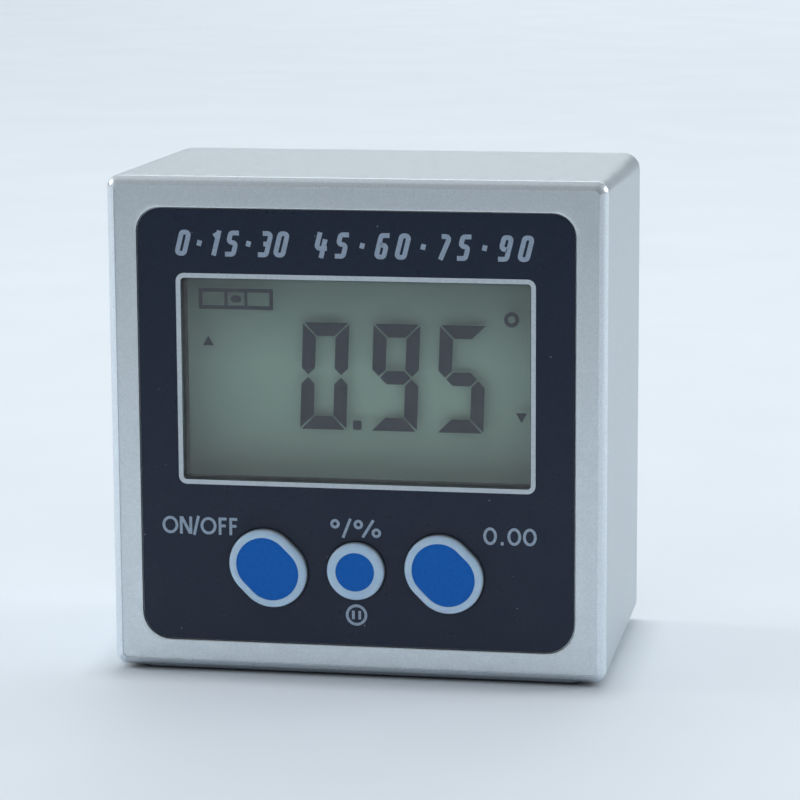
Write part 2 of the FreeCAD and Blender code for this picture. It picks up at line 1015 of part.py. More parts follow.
def cover_cuts():
    """Door seat, tongue pockets, finger notch, screw holes and the slots for the contacts' tails."""
    cuts = [
        plate(
            door_half_width,
            bay_level - door_half_height,
            bay_level + door_half_height,
            door_corner_radius + door_fit,
            door_corner_radius + door_fit,
            door_front,
            cover_back + overrun,
        )
    ]
    half_tongue = door_tongue_width / 2 + door_fit
    for x in (-door_tongue_offset, door_tongue_offset):
        cuts.append(
            block(
                x - half_tongue,
                x + half_tongue,
                cover_front,
                door_front + door_tongue_thickness + door_tongue_clearance,
                door_low - door_tongue_length - door_fit,
                bay_level - bay_half_height,
            )
        )
    notch = cover_back - finger_notch_depth
    cuts.append(disc(0, bay_level + door_half_height, finger_notch_radius, notch, cover_back + overrun))
    for x, z in post_places():
        hole = cover_screw_radius + board_hole_clearance
        well = cover_screw_head_radius + cover_screw_head_clearance
        cuts.append(disc(x, z, hole, cover_front - overrun, cover_back))
        cuts.append(disc(x, z, well, cover_screw_seat(), cover_back + overrun))
    half_slot = contact_tail_width / 2 + contact_slot_clearance
    for z in (bay_level - cell_offset, bay_level + cell_offset):
        cuts.append(
            block(
                bay_half_width - contact_thickness - contact_slot_clearance,
                bay_half_width,
                bay_under - overrun,
                bay_floor + overrun,
                z - half_slot,
                z + half_slot,
            )
        )
    return cuts


def cell_can(z, facing):
    """A cell's steel can and contact nub, the nub facing left for -1 and right for 1."""
    flat_end = -facing * (bay_half_width - contact_thickness - spring_room)
    along = FreeCAD.Vector(facing, 0, 0)
    can_length = cell_length - cell_nub_height
    start = point(flat_end, cell_depth, z)
    can = Part.makeCylinder(cell_radius - cell_end_recess, can_length, start, along)
    nub_start = point(flat_end + facing * can_length, cell_depth, z)
    nub = Part.makeCylinder(cell_nub_radius, cell_nub_height, nub_start, along)
    return joined([can, nub])


def cell_sleeve(z, facing):
    """The plastic sleeve shrunk over a cell's can, its ends turned in over the shoulders."""
    flat_end = -facing * (bay_half_width - contact_thickness - spring_room)
    along = FreeCAD.Vector(facing, 0, 0)
    inset = cell_end_recess
    length = cell_length - cell_nub_height - inset - inset
    start = point(flat_end + facing * inset, cell_depth, z)
    tube = Part.makeCylinder(cell_radius, length, start, along)
    return tube.cut(Part.makeCylinder(cell_radius - cell_end_recess, length, start, along))


def battery_cans():
    upper = cell_can(bay_level + cell_offset, -1)
    lower = cell_can(bay_level - cell_offset, 1)
    return group([upper, lower])


def battery_sleeves():
    upper = cell_sleeve(bay_level + cell_offset, -1)
    lower = cell_sleeve(bay_level - cell_offset, 1)
    return group([upper, lower])


def tangent_arc(start, along, end):
    """The arc that leaves one point along a direction and reaches another point."""
    chord = end - start
    rise = chord.Length / 2 * math.tan(chord.getAngle(along) / 2)
    outward = (along - chord * (along.dot(chord) / chord.dot(chord))).normalize()
    return Part.Arc(start, (start + end) / 2 + outward * rise, end).toShape()


def smooth_arcs(start, along, end, onward):
    """Two arcs that join smoothly, from one point and its direction to the next."""
    span = end - start
    lean = span.dot(along + onward)
    turn = 2 * (1 - along.dot(onward))
    reach = (math.sqrt(lean**2 + turn * span.dot(span)) - lean) / turn
    joint = (start + along * reach + end - onward * reach) / 2
    return [tangent_arc(start, along, joint), tangent_arc(end, -onward, joint)]


def coil_stations(height):
    """The places and directions of a cone-wound coil, one every half turn from its small end."""
    halves = 2 * spring_turns
    growth = (spring_base_radius - spring_tip_radius) / (halves * math.pi)
    climb = height / (halves * math.pi)
    stations = []
    for i in range(halves + 1):
        angle = i * math.pi
        radius = spring_tip_radius + growth * angle
        outward = FreeCAD.Vector(math.cos(angle), math.sin(angle), 0)
        across = FreeCAD.Vector(-math.sin(angle), math.cos(angle), 0)
        place = outward * radius + FreeCAD.Vector(0, 0, climb * angle)
        direction = across * radius + outward * growth + FreeCAD.Vector(0, 0, climb)
        stations.append((place, direction.normalize()))
    return stations


def contact_spring(z, side):
    """Cone-wound spring from a cell's flat end (small turn) to the contact plate (large turn)."""
    stations = coil_stations(spring_room - 2 * spring_wire_radius)
    edges = []
    for here, following in zip(stations, stations[1:]):
        edges += smooth_arcs(*here, *following)
    section = Part.Wire(Part.makeCircle(spring_wire_radius, *stations[0]))
    coil = Part.Wire(Part.__sortEdges__(edges)).makePipeShell([section], True, False)
    coil.rotate(FreeCAD.Vector(0, 0, 0), FreeCAD.Vector(0, 1, 0), side * quarter_turn)
    tip = side * (bay_half_width - contact_thickness - spring_room + spring_wire_radius)
    coil.translate(point(tip, cell_depth, z))
    return coil


def contact_springs():
    upper = contact_spring(bay_level + cell_offset, 1)
    lower = contact_spring(bay_level - cell_offset, -1)
    return group([upper, lower])


def contact_plate(z, half_height, side):
    """A flat plate against one end wall of the bay."""
    ends = sorted((side * bay_half_width, side * (bay_half_width - contact_thickness)))
    low_depth = cell_depth - contact_half_depth
    high_depth = cell_depth + contact_half_depth
    return block(*ends, low_depth, high_depth, z - half_height, z + half_height)


def bridge_contact():
    """One plate that joins the two cells at the left end."""
    return contact_plate(bay_level, cell_offset + contact_half_height, -1)


def tailed_contact(z):
    """A plate at the right end with a solder tail through the bay's floor."""
    half_tail = contact_tail_width / 2
    tail = block(
        bay_half_width - contact_thickness,
        bay_half_width,
        bay_under - contact_tail_length,
        cell_depth,
        z - half_tail,
        z + half_tail,
    )
    return joined([contact_plate(z, contact_half_height, 1), tail])


def negative_contact():
    return tailed_contact(bay_level + cell_offset)


def positive_contact():
    return tailed_contact(bay_level - cell_offset)


def tail_end(z):
    """The place where a lead leaves a contact's tail."""
    return (bay_half_width - contact_thickness / 2, bay_under - contact_tail_length - lead_seat_gap, z)


def battery_door():
    """Door plate with two tongues at its lower edge, a sprung latch at its upper edge and grip grooves."""
    panel = plate(
        door_half_width - door_fit,
        door_low,
        door_high,
        door_corner_radius,
        door_corner_radius,
        door_front,
        cover_back,
    )
    half_tongue = door_tongue_width / 2
    tongues = [
        block(
            x - half_tongue,
            x + half_tongue,
            door_front,
            door_front + door_tongue_thickness,
            door_low - door_tongue_length,
            door_low + door_tongue_length,
        )
        for x in (-door_tongue_offset, door_tongue_offset)
    ]
    return joined([panel] + tongues).cut(group(door_cuts()))


def door_cuts():
    """The two slits beside the latch and the grip grooves below it."""
    cuts = []
    for x in (-door_latch_width / 2, door_latch_width / 2):
        cuts.append(
            block(
                x - door_latch_slit / 2,
                x + door_latch_slit / 2,
                door_front - overrun,
                cover_back + overrun,
                door_high - door_latch_length,
                door_high + overrun,
            )
        )
    half_grip = door_grip_width / 2
    floor = cover_back - door_grip_depth
    for i in range(door_grip_count):
        low = door_high - door_grip_drop - i * door_grip_pitch
        high = low + door_grip_groove
        cuts.append(block(-half_grip, half_grip, floor, cover_back + overrun, low, high))
    return cuts


def door_pad():
    """Foam pad glued inside the door, which keeps the cells from rattling."""
    half_pad = opening_half_width - door_pad_side_inset
    low = bay_level - bay_half_height + door_pad_end_inset
    high = bay_level + bay_half_height - door_pad_end_inset
    return block(-half_pad, half_pad, door_front - door_pad_thickness, door_front, low, high)


def lead_tube(points):
    """A lead through its points: straight runs joined by arcs as large as the runs allow."""
    places = [point(*place) for place in points]
    edges = []
    begin = places[0]
    for i in range(1, len(places) - 1):
        before, here, after = places[i - 1], places[i], places[i + 1]
        back = (before - here).normalize()
        on = (after - here).normalize()
        half_turn = (math.pi - back.getAngle(on)) / 2
        reach = lead_arc_share * min(before.distanceToPoint(here), after.distanceToPoint(here))
        radius = reach / math.tan(half_turn)
        print("lead radius", round(radius, 2), "wire", lead_radius + lead_radius)
        bisector = (back + on).normalize()
        middle = here + bisector * (radius / math.cos(half_turn) - radius)
        edges.append(Part.LineSegment(begin, here + back * reach).toShape())
        edges.append(Part.Arc(here + back * reach, middle, here + on * reach).toShape())
        begin = here + on * reach
    edges.append(Part.LineSegment(begin, places[-1]).toShape())
    path = Part.Wire(edges)
    section = Part.Wire(Part.makeCircle(lead_radius, places[0], places[1] - places[0]))
    tube = path.makePipeShell([section], True, False)
    expected = path.Length * math.pi * lead_radius**2
    print("lead volume", round(tube.Volume, 3), "section times length", round(expected, 3))
    return tube


def lead_point(wall_gap, height, level):
    """A point of a lead from its distance to the right wall, its height on the board and its level."""
    return (cavity_half_width - wall_gap, board_back + height, bay_level + level)


def lead(z, route, pad):
    """A lead from the tail of the contact at one height, along its route, to its solder joint."""
    wall_gap, level = pad
    end = lead_point(wall_gap, lead_pad_height + lead_seat_gap, level)
    return lead_tube([tail_end(z)] + [lead_point(*place) for place in route] + [end])


def red_lead():
    return lead(bay_level - cell_offset, red_lead_route, red_pad)


def black_lead():
    return lead(bay_level + cell_offset, black_lead_route, black_pad)


def solder_joints():
    """Two flat-topped cones of solder on the board, one under each lead."""
    along = FreeCAD.Vector(0, 1, 0)
    made = []
    for wall_gap, level in (red_pad, black_pad):
        base = point(*lead_point(wall_gap, 0, level))
        made.append(Part.makeCone(lead_pad_radius, lead_radius, lead_pad_height, base, along))
    return group(made)


pieces = {
    "case": case,
    "base_magnets": base_magnets,
    "front_label": front_label,
    "window_lens": window_lens,
    "dust_gasket": dust_gasket,
    "display_frame": display_frame,
    "display_front_polariser": display_front_polariser,
    "display_front_glass": display_front_glass,
    "display_rear_glass": display_rear_glass,
    "display_reflector": display_reflector,
    "contact_strip": contact_strip,
    "foam_strip": foam_strip,
    "circuit_board": circuit_board,
    "board_screws": board_screws,
    "controller_chip": controller_chip,
    "controller_legs": controller_legs,
    "tilt_sensor": tilt_sensor,
    "crystal": crystal,
    "electrolytic_capacitor": electrolytic_capacitor,
    "chip_capacitors": chip_capacitors,
    "chip_resistors": chip_resistors,
    "switch_bodies": switch_bodies,
    "switch_covers": switch_covers,
    "switch_terminals": switch_terminals,
    "back_cover": back_cover,
    "cover_screws": cover_screws,
    "battery_cans": battery_cans,
    "battery_sleeves": battery_sleeves,
    "contact_springs": contact_springs,
    "bridge_contact": bridge_contact,
    "negative_contact": negative_contact,
    "positive_contact": positive_contact,
    "red_lead": red_lead,
    "black_lead": black_lead,
    "solder_joints": solder_joints,
    "battery_door": battery_door,
    "door_pad": door_pad,
}

os.makedirs("parts", exist_ok=True)
made = {name: make() for name, make in pieces.items()}
for name, sizes in buttons.items():
    made[name + "_button_cap"] = button_cap(*sizes)
    made[name + "_button_inlay"] = button_inlay(*sizes)
    made[name + "_switch_plunger"] = plunger(sizes[0])
    made[name + "_switch_dome"] = snap_dome(sizes[0])
for name, shape in made.items():
    shape.exportStep("parts/" + name + ".step")
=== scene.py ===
import math

import bmesh
import bpy
from mathutils import Matrix, Vector
from mathutils.geometry import delaunay_2d_cdt


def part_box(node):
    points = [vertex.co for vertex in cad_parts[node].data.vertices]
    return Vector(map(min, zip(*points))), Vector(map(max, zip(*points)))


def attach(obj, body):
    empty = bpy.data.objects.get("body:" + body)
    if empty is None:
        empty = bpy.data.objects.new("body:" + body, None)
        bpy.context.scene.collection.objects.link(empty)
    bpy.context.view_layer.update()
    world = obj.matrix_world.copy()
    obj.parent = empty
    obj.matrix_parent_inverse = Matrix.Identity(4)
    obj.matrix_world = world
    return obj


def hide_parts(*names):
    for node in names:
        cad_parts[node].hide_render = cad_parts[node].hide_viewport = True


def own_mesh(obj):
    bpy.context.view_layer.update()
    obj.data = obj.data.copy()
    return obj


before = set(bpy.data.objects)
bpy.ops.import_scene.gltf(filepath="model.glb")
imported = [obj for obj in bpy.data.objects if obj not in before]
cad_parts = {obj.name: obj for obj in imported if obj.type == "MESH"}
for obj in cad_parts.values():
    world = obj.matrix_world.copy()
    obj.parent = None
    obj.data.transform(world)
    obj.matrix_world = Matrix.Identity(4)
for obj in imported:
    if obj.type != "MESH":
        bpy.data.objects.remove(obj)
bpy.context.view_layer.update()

# Sizes below are real millimetres, and this turns them into the frame's metres
mm = 0.001

# Camera: it stands in front of the case, a little above it and to its right, and looks through a
# long lens, so that the case's top and right side show narrow beside the front.
camera_place = Vector((66.37, -352.82, 91.90)) * mm
aimed_at = Vector((2.079, 0.35, 28.469)) * mm
camera_roll = math.radians(-0.302)

view = bpy.data.cameras.new("view")
view.sensor_width = 36.0
view.lens = 144.58
camera = bpy.data.objects.new("camera", view)
bpy.context.scene.collection.objects.link(camera)
turned = (aimed_at - camera_place).to_track_quat("-Z", "Y").to_matrix()
turned = turned @ Matrix.Rotation(camera_roll, 3, "Z")
camera.matrix_world = Matrix.Translation(camera_place) @ turned.to_4x4()
bpy.context.scene.camera = camera
bpy.context.scene.view_settings.view_transform = "Standard"


# Case: a cast aluminium box that holds everything else, open at the back for assembly. It is blasted
# to a fine matt grain and left bare, with a bevel round its front rim and a milled pad to stand on.
case_low, case_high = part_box("case")
front = case_low.y / mm
half_width = case_high.x / mm
case_top = case_high.z / mm
case_depth = (case_high.y - case_low.y) / mm
underside = 0.5
front_corner = 1.25
back_corner = 1.9
back_edge = 0.15
front_bevel = 0.9
bevel_crown = 0.37
rim_land = 0.06
face_drop = 0.12
face_corner = 0.55
case_wall = 2.5
front_wall = 2.6
cavity_corner = 1.2
rim_wall = 1.3
cover_thickness = 2.4
cover_drop = 0.3
cover_front = case_depth - cover_drop - cover_thickness
seat_corner = 1.35

label_low, label_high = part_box("front_label")
label_half = label_high.x / mm
label_bottom = label_low.z / mm
label_top = label_high.z / mm
label_front = label_low.y / mm - front
label_back = label_high.y / mm - front
label_gap = 0.12
label_low_corner = 3.1
label_top_corner = 2.5

lens_low, lens_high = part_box("window_lens")
lens_flange = 2.0
lens_back = lens_high.y / mm - front
window_half = lens_high.x / mm - lens_flange
window_low = lens_low.z / mm + lens_flange
window_high = lens_high.z / mm - lens_flange
window_corner = 0.35
lens_seat_gap = 0.1
collar_passage = 1.1

cap_low, cap_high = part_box("mode_button_cap")
button_level = (cap_low.z + cap_high.z) / mm / 2
button_spacing = 9.8
button_gap = 0.15
button_lean = math.radians(45)
corner_steps = 8


def rounded(half, low, high, low_corner, high_corner):
    """A rounded outline about the middle plane: places across and up, counter-clockwise."""
    corners = [
        (half - low_corner, low + low_corner, low_corner, -90),
        (half - high_corner, high - high_corner, high_corner, 0),
        (high_corner - half, high - high_corner, high_corner, 90),
        (low_corner - half, low + low_corner, low_corner, 180),
    ]
    points = []
    for x, z, radius, start in corners:
        for step in range(corner_steps + 1):
            angle = math.radians(start + 90 * step / corner_steps)
            points.append((x + radius * math.cos(angle), z + radius * math.sin(angle)))
    return points


def button_outline(x, half_across, half_run):
    """A circle drawn out along the leaning line, low at the right."""
    half_circle = 3 * corner_steps
    points = []
    for end, start in ((1, -135), (-1, 45)):
        middle_x = x + end * half_run * math.cos(button_lean)
        middle_z = button_level - end * half_run * math.sin(button_lean)
        for step in range(half_circle + (half_run > 0)):
            angle = math.radians(start + 180 * step / half_circle)
            across = half_across * math.cos(angle)
            points.append((middle_x + across, middle_z + half_across * math.sin(angle)))
    return points


def ring(shape, outline, depth):
    """The outline as a ring of points at one depth behind the case's front rim."""
    return [shape.verts.new((x * mm, (front + depth) * mm, z * mm)) for x, z in outline]


def walls(shape, rings):
    """Walls of four-sided faces from each ring to the next."""
    for near, far in zip(rings, rings[1:]):
        for i in range(len(near)):
            shape.faces.new((near[i - 1], near[i], far[i], far[i - 1]))


def solid(shape, rings):
    """Walls from each ring to the next, closed by a face at either end."""
    walls(shape, rings)
    shape.faces.new(rings[0])
    shape.faces.new(rings[-1])


def flat_face(shape, rings):
    """A flat face inside the first ring, left open inside each of the others."""
    points = [point for ring_points in rings for point in ring_points]
    owner = [which for which, ring_points in enumerate(rings) for _ in ring_points]
    edges = []
    for ring_points in rings:
        start = points.index(ring_points[0])
        count = len(ring_points)
        edges += [(start + i, start + (i + 1) % count) for i in range(count)]
    places = [Vector((point.co.x, point.co.z)) / mm for point in points]
    filled = delaunay_2d_cdt(places, edges, [], 1, 1e-6)
    for face in filled[2]:
        corners = [filled[3][corner][0] for corner in face]
        touched = {owner[corner] for corner in corners}
        if len(touched) > 1 or touched == {0}:
            shape.faces.new([points[corner] for corner in corners])


def eased(path, radii, steps=4):
    """A path of places whose inner corners are each rounded by a radius."""
    points = [Vector(path[0])]
    for before, here, after, radius in zip(path, path[1:], path[2:], radii):
        here = Vector(here)
        back = (Vector(before) - here).normalized()
        on = (Vector(after) - here).normalized()
        half = back.angle(on) / 2
        middle = here + (back + on).normalized() * (radius / math.sin(half))
        reach = radius / math.tan(half)
        first = here + back * reach - middle
        last = here + on * reach - middle
        turn = first.angle_signed(last)
        for step in range(steps + 1):
            points.append(middle + Matrix.Rotation(-turn * step / steps, 2) @ first)
    points.append(Vector(path[-1]))
    return points


def made(name, shape, *finishes):
    """The finished shape as a piece in the scene, smooth where it curves and crisp at its edges."""
    bmesh.ops.recalc_face_normals(shape, faces=shape.faces)
    crisp = math.radians(35)
    for edge in shape.edges:
        edge.smooth = edge.is_manifold and edge.calc_face_angle() < crisp
    mesh = bpy.data.meshes.new(name)
    shape.to_mesh(mesh)
    shape.free()
    for face in mesh.polygons:
        face.use_smooth = True
    for finish in finishes:
        mesh.materials.append(finish)
    piece = bpy.data.objects.new(name, mesh)
    bpy.context.scene.collection.objects.link(piece)
    evened = piece.modifiers.new("even shading", "WEIGHTED_NORMAL")
    evened.keep_sharp = True
    return piece


def case_outline(inset, depth):
    """The case's outside, whose corners widen to the back."""
    corner = front_corner + (back_corner - front_corner) * depth / case_depth
    corner = max(corner - inset, face_corner)
    return rounded(half_width - inset, underside + inset, case_top - inset, corner, corner)


def label_outline(grown):
    """The label's edge, grown outward."""
    return rounded(
        label_half + grown,
        label_bottom - grown,
        label_top + grown,
        label_low_corner + grown,
        label_top_corner + grown,
    )


def window_outline(grown):
    """The window's edge, grown outward."""
    corner = max(window_corner + grown, window_corner / 2)
    return rounded(window_half + grown, window_low - grown, window_high + grown, corner, corner)


def seat_outline(grown):
    """The seat of the back cover, inside the case's back rim."""
    inset = rim_wall - grown
    return rounded(half_width - inset, underside + inset, case_top - inset, seat_corner, seat_corner)


button_shapes = {
    "power": (-button_spacing, 3.85, 0.72),
    "mode": (0, 3.2, 0),
    "zero": (button_spacing, 3.85, 0.72),
}
shell = bmesh.new()
cavity = rounded(
    half_width - case_wall, underside + case_wall, case_top - case_wall, cavity_corner, cavity_corner
)
rings = [ring(shell, cavity, front_wall), ring(shell, cavity, cover_front)]
seat_path = eased([(0, cover_front), (0, case_depth), (0.4, case_depth)], [back_edge])
rings += [ring(shell, seat_outline(grown), depth) for grown, depth in seat_path]
face_inset = front_bevel + rim_land
# The skin runs from the back rim to the label's pocket, and each of its corners has its rounding
skin_edges = [0.3, 0.35, 1.5, 0.025, 0.02]
skin_path = [
    (0.6, case_depth),
    (0, case_depth),
    (0, front_bevel),
    (bevel_crown, bevel_crown),
    (front_bevel, 0),
    (face_inset, 0),
    (face_inset, face_drop),
]
for inset, depth in eased(skin_path, skin_edges):
    rings.append(ring(shell, case_outline(inset, depth), depth))
pocket_edge = 0.12
pocket_path = eased([(0.5, face_drop), (0, face_drop), (0, label_back)], [pocket_edge])
rings += [ring(shell, label_outline(label_gap + grown), depth) for grown, depth in pocket_path]
walls(shell, rings)
lens_seat = window_outline(lens_flange + lens_seat_gap)
passage = window_outline(collar_passage)
lens_rings = [ring(shell, lens_seat, label_back), ring(shell, lens_seat, lens_back)]
lens_rings += [ring(shell, passage, lens_back), ring(shell, passage, front_wall)]
walls(shell, lens_rings)
opened = [lens_rings]
for x, half_across, half_run in button_shapes.values():
    hole = button_outline(x, half_across + button_gap, half_run)
    opened.append([ring(shell, hole, label_back), ring(shell, hole, front_wall)])
    walls(shell, opened[-1])
flat_face(shell, [rings[-1]] + [rings_in[0] for rings_in in opened])
flat_face(shell, [rings[0]] + [rings_in[-1] for rings_in in opened])
case_shell = made("case_shell", shell)


def circle(x, z, radius, tall=None, count=32):
    """A circle, or an oval where it is told how tall."""
    turns = [2 * math.pi * i / count for i in range(count)]
    return [(x + radius * math.cos(t), z + (tall or radius) * math.sin(t)) for t in turns]


def slab(shape, outline, low_depth, high_depth):
    """The outline drawn straight from one depth to another."""
    solid(shape, [ring(shape, outline, low_depth), ring(shape, outline, high_depth)])


def flat_ring(shape, plan, level):
    """A plan, of places across and behind the front rim, as a ring of points at one level."""
    return [shape.verts.new((x * mm, (front + depth) * mm, level * mm)) for x, depth in plan]


def carve(piece, tool, operation):
    """Joins a shape to a piece, or cuts it out."""
    bmesh.ops.recalc_face_normals(tool, faces=tool.faces)
    mesh = bpy.data.meshes.new("tool")
    tool.to_mesh(mesh)
    tool.free()
    helper = bpy.data.objects.new("tool", mesh)
    bpy.context.scene.collection.objects.link(helper)
    step = piece.modifiers.new("carving", "BOOLEAN")
    step.object = helper
    step.operation = operation
    step.solver = "EXACT"
    bpy.context.view_layer.objects.active = piece
    bpy.ops.object.modifier_move_to_index(modifier=step.name, index=0)
    bpy.ops.object.modifier_apply(modifier=step.name)
    bpy.data.objects.remove(helper)


post_radius = 2.2
standoff_radius = 1.8
post_x = 22.9
post_levels = (5.1, 50.7)
standoffs = [(-19.6, 12.7), (19.6, 12.7), (-8.0, 50.5), (8.0, 50.5)]
board_front = 9.0
web_half = 0.6
# A bore's radius, the depth of its tip and the depth of its cutter's other end
post_bore = (1.05, 21.0, cover_front + 1)
standoff_bore = (1.0, 5.0, board_front + 1)
pad_inset = 2.8
pad_margin = 1.6
pad_corner = 1.2
pad_edge = 0.12
magnet_x = 16.0
magnet_depths = (8.65, 23.65)
magnet_pocket = 3.53
# A pocket's cutter starts below the pad and ends at the pocket's top
magnet_levels = (-1.0, 2.43)

# Added parts start a little inside the wall they stand on, and no two of them end at one depth
root = front_wall - rim_land
hairline = 0.01
added = bmesh.new()
posts = [(x, z) for x in (-post_x, post_x) for z in post_levels]
for x, z in posts:
    slab(added, circle(x, z, post_radius), root, cover_front - hairline)
for x, z in standoffs:
    slab(added, circle(x, z, standoff_radius), root, board_front)
carve(case_shell, added, "UNION")

# Webs tie the two upper standoffs to the top wall
webs = bmesh.new()
web_top = case_top - case_wall + rim_land
for x, z in standoffs[2:]:
    outline = [(x - web_half, z), (x + web_half, z), (x + web_half, web_top), (x - web_half, web_top)]
    slab(webs, outline, root, board_front - hairline)
carve(case_shell, webs, "UNION")

pad = bmesh.new()
pad_half = half_width - pad_inset
pad_plan = rounded(pad_half, pad_margin, case_depth - pad_margin, pad_corner, pad_corner)
pad_path = eased([(0, underside + rim_land), (0, 0), (pad_corner, 0)], [pad_edge])
pad_rings = []
middle = case_depth / 2
for inset, level in pad_path:
    narrowed = (pad_half - inset) / pad_half
    shortened = (middle - pad_margin - inset) / (middle - pad_margin)
    plan = [(x * narrowed, middle + (depth - middle) * shortened) for x, depth in pad_plan]
    pad_rings.append(flat_ring(pad, plan, level))
solid(pad, pad_rings)
carve(case_shell, pad, "UNION")

drilled = bmesh.new()
for places, (radius, tip, mouth) in ((posts, post_bore), (standoffs, standoff_bore)):
    for x, z in places:
        slab(drilled, circle(x, z, radius), tip, mouth)
for x in (-magnet_x, magnet_x):
    for depth in magnet_depths:
        hole = circle(x, depth, magnet_pocket, count=48)
        solid(drilled, [flat_ring(drilled, hole, level) for level in magnet_levels])
carve(case_shell, drilled, "DIFFERENCE")


def new_finish(name, **settings):
    """A new finish with these settings of its shader, and where the piece's own points come from."""
    finish = bpy.data.materials.new(name)
    finish.use_nodes = True
    shader = finish.node_tree.nodes["Principled BSDF"]
    for setting, value in settings.items():
        shader.inputs[setting.replace("_", " ")].default_value = value
    finish.node_tree.nodes.new("ShaderNodeTexCoord").name = "own place"
    return finish


def grain(finish, size, detail=2.0):
    """Cloudy grain over the piece, each cloud about this many millimetres across."""
    nodes, links = finish.node_tree.nodes, finish.node_tree.links
    scaled = nodes.new("ShaderNodeMapping")
    scaled.inputs["Scale"].default_value = [1 / (size * mm)] * 3
    links.new(nodes["own place"].outputs["Object"], scaled.inputs["Vector"])
    clouds = nodes.new("ShaderNodeTexNoise")
    clouds.inputs["Scale"].default_value = 1.0
    clouds.inputs["Detail"].default_value = detail
    links.new(scaled.outputs["Vector"], clouds.inputs["Vector"])
    return clouds.outputs["Fac"]


def shades(finish, amount, stops):
    """Colours the surface along an amount, from (amount, colour) stops."""
    nodes, links = finish.node_tree.nodes, finish.node_tree.links
    ramp = nodes.new("ShaderNodeValToRGB")
    marks = ramp.color_ramp.elements
    while len(marks) < len(stops):
        marks.new(0.5)
    for mark, (position, colour) in zip(marks, stops):
        mark.position = position
        mark.color = (*colour, 1)
    links.new(amount, ramp.inputs["Fac"])
    return ramp.outputs["Color"]


def ranged(finish, amount, low, high):
    """An amount spread over a range, as for roughness."""
    spread = finish.node_tree.nodes.new("ShaderNodeMapRange")
    spread.inputs["From Min"].default_value = 0.3
    spread.inputs["From Max"].default_value = 0.7
    spread.inputs["To Min"].default_value = low
    spread.inputs["To Max"].default_value = high
    finish.node_tree.links.new(amount, spread.inputs["Value"])
    return spread.outputs["Result"]


def relief(finish, amount, height):
    """Raises the surface by up to this many millimetres along an amount."""
    bump = finish.node_tree.nodes.new("ShaderNodeBump")
    bump.inputs["Distance"].default_value = height * mm
    finish.node_tree.links.new(amount, bump.inputs["Height"])
    return bump.outputs["Normal"]


def set_on(finish, setting, source):
    """Lets a source drive one setting of the finish."""
    shader = finish.node_tree.nodes["Principled BSDF"]
    finish.node_tree.links.new(source, shader.inputs[setting])


def textured(name, dark, light, size, roughness, spread, height, **settings):
    """An even finish: two shades in a fine grain, uneven gloss and a slight relief."""
    finish = new_finish(name, **settings)
    fine = grain(finish, size)
    set_on(finish, "Base Color", shades(finish, fine, [(0.35, dark), (0.65, light)]))
    set_on(finish, "Roughness", ranged(finish, grain(finish, 6 * size), roughness, roughness + spread))
    set_on(finish, "Normal", relief(finish, fine, height))
    return finish


def tint(finish, amount, colour):
    """Turns the finish's own colour into another one along an amount."""
    nodes, links = finish.node_tree.nodes, finish.node_tree.links
    mix = nodes.new("ShaderNodeMix")
    mix.data_type = "RGBA"
    links.new(amount, mix.inputs["Factor"])
    links.new(nodes["Principled BSDF"].inputs["Base Color"].links[0].from_socket, mix.inputs["A"])
    mix.inputs["B"].default_value = (*colour, 1)
    set_on(finish, "Base Color", mix.outputs["Result"])


def along(finish, axis, start, end):
    """How far a point of the piece lies from one place to another along an axis."""
    nodes, links = finish.node_tree.nodes, finish.node_tree.links
    split = nodes.new("ShaderNodeSeparateXYZ")
    links.new(nodes["own place"].outputs["Object"], split.inputs["Vector"])
    share = nodes.new("ShaderNodeMapRange")
    share.inputs["From Min"].default_value = start * mm
    share.inputs["From Max"].default_value = end * mm
    links.new(split.outputs[axis], share.inputs["Value"])
    return share.outputs["Result"]


blasted = textured(
    "blasted_aluminium",
    dark=(0.75, 0.81, 0.845),
    light=(0.82, 0.88, 0.915),
    size=0.20,
    roughness=0.35,
    spread=0.10,
    height=0.006,
    Metallic=1.0,
    Specular_Tint=(0.66, 0.66, 0.66, 1),
)
# The blasting leaves faint waves as well as grain
waves = relief(blasted, grain(blasted, 0.6, detail=3.0), 0.004)
set_on(blasted, "Normal", waves)
machined = textured(
    "machined_bevel",
    dark=(0.70, 0.75, 0.79),
    light=(0.77, 0.825, 0.87),
    size=0.25,
    roughness=0.27,
    spread=0.08,
    height=0.0008,
    Metallic=1.0,
)
# Painted shade: the underside of the case and of its pad are coloured near black, so that the gap between
# the case and the bench reads dark
shaded_underside = textured(
    "underside_painted_shade",
    dark=(0.04, 0.04, 0.04),
    light=(0.07, 0.07, 0.07),
    size=0.4,
    roughness=0.45,
    spread=0.15,
    height=0.003,
    Metallic=1.0,
)
# Painted shade darkens the pad's sides towards the bench, where the contact shadow falls
foot = textured(
    "pad_side",
    dark=(0.52, 0.58, 0.66),
    light=(0.58, 0.64, 0.72),
    size=0.35,
    roughness=0.28,
    spread=0.08,
    height=0.001,
    Metallic=1.0,
)
foot_shade_top, foot_shade_full = 0.42, 0.08
tint(foot, along(foot, "Z", foot_shade_top, foot_shade_full), (0.015, 0.022, 0.035))
for finish in (blasted, machined, shaded_underside, foot):
    case_shell.data.materials.append(finish)
# The pad's foot, the pad's sides and the front bevel have finishes of their own
for face in case_shell.data.polygons:
    x, depth, z = face.center / mm
    inside = min(half_width - abs(x), case_top - z, z - underside)
    if z < underside + rim_land / 2 and abs(face.normal.z) > 0.9:
        face.material_index = 2
    elif z < underside + rim_land / 2:
        face.material_index = 3
    elif depth - front < front_bevel + 0.1 and inside < face_inset + 0.2:
        face.material_index = 1
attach(case_shell, "case")
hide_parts("case")


# Base magnets: four nickel-plated discs, pressed and glued into the machined pad, so that the case
# clings to a saw table or a steel edge.
def dress(node, finish):
    """Gives a piece of the frame its finish."""
    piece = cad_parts[node]
    for slot in piece.material_slots:
        slot.material = finish


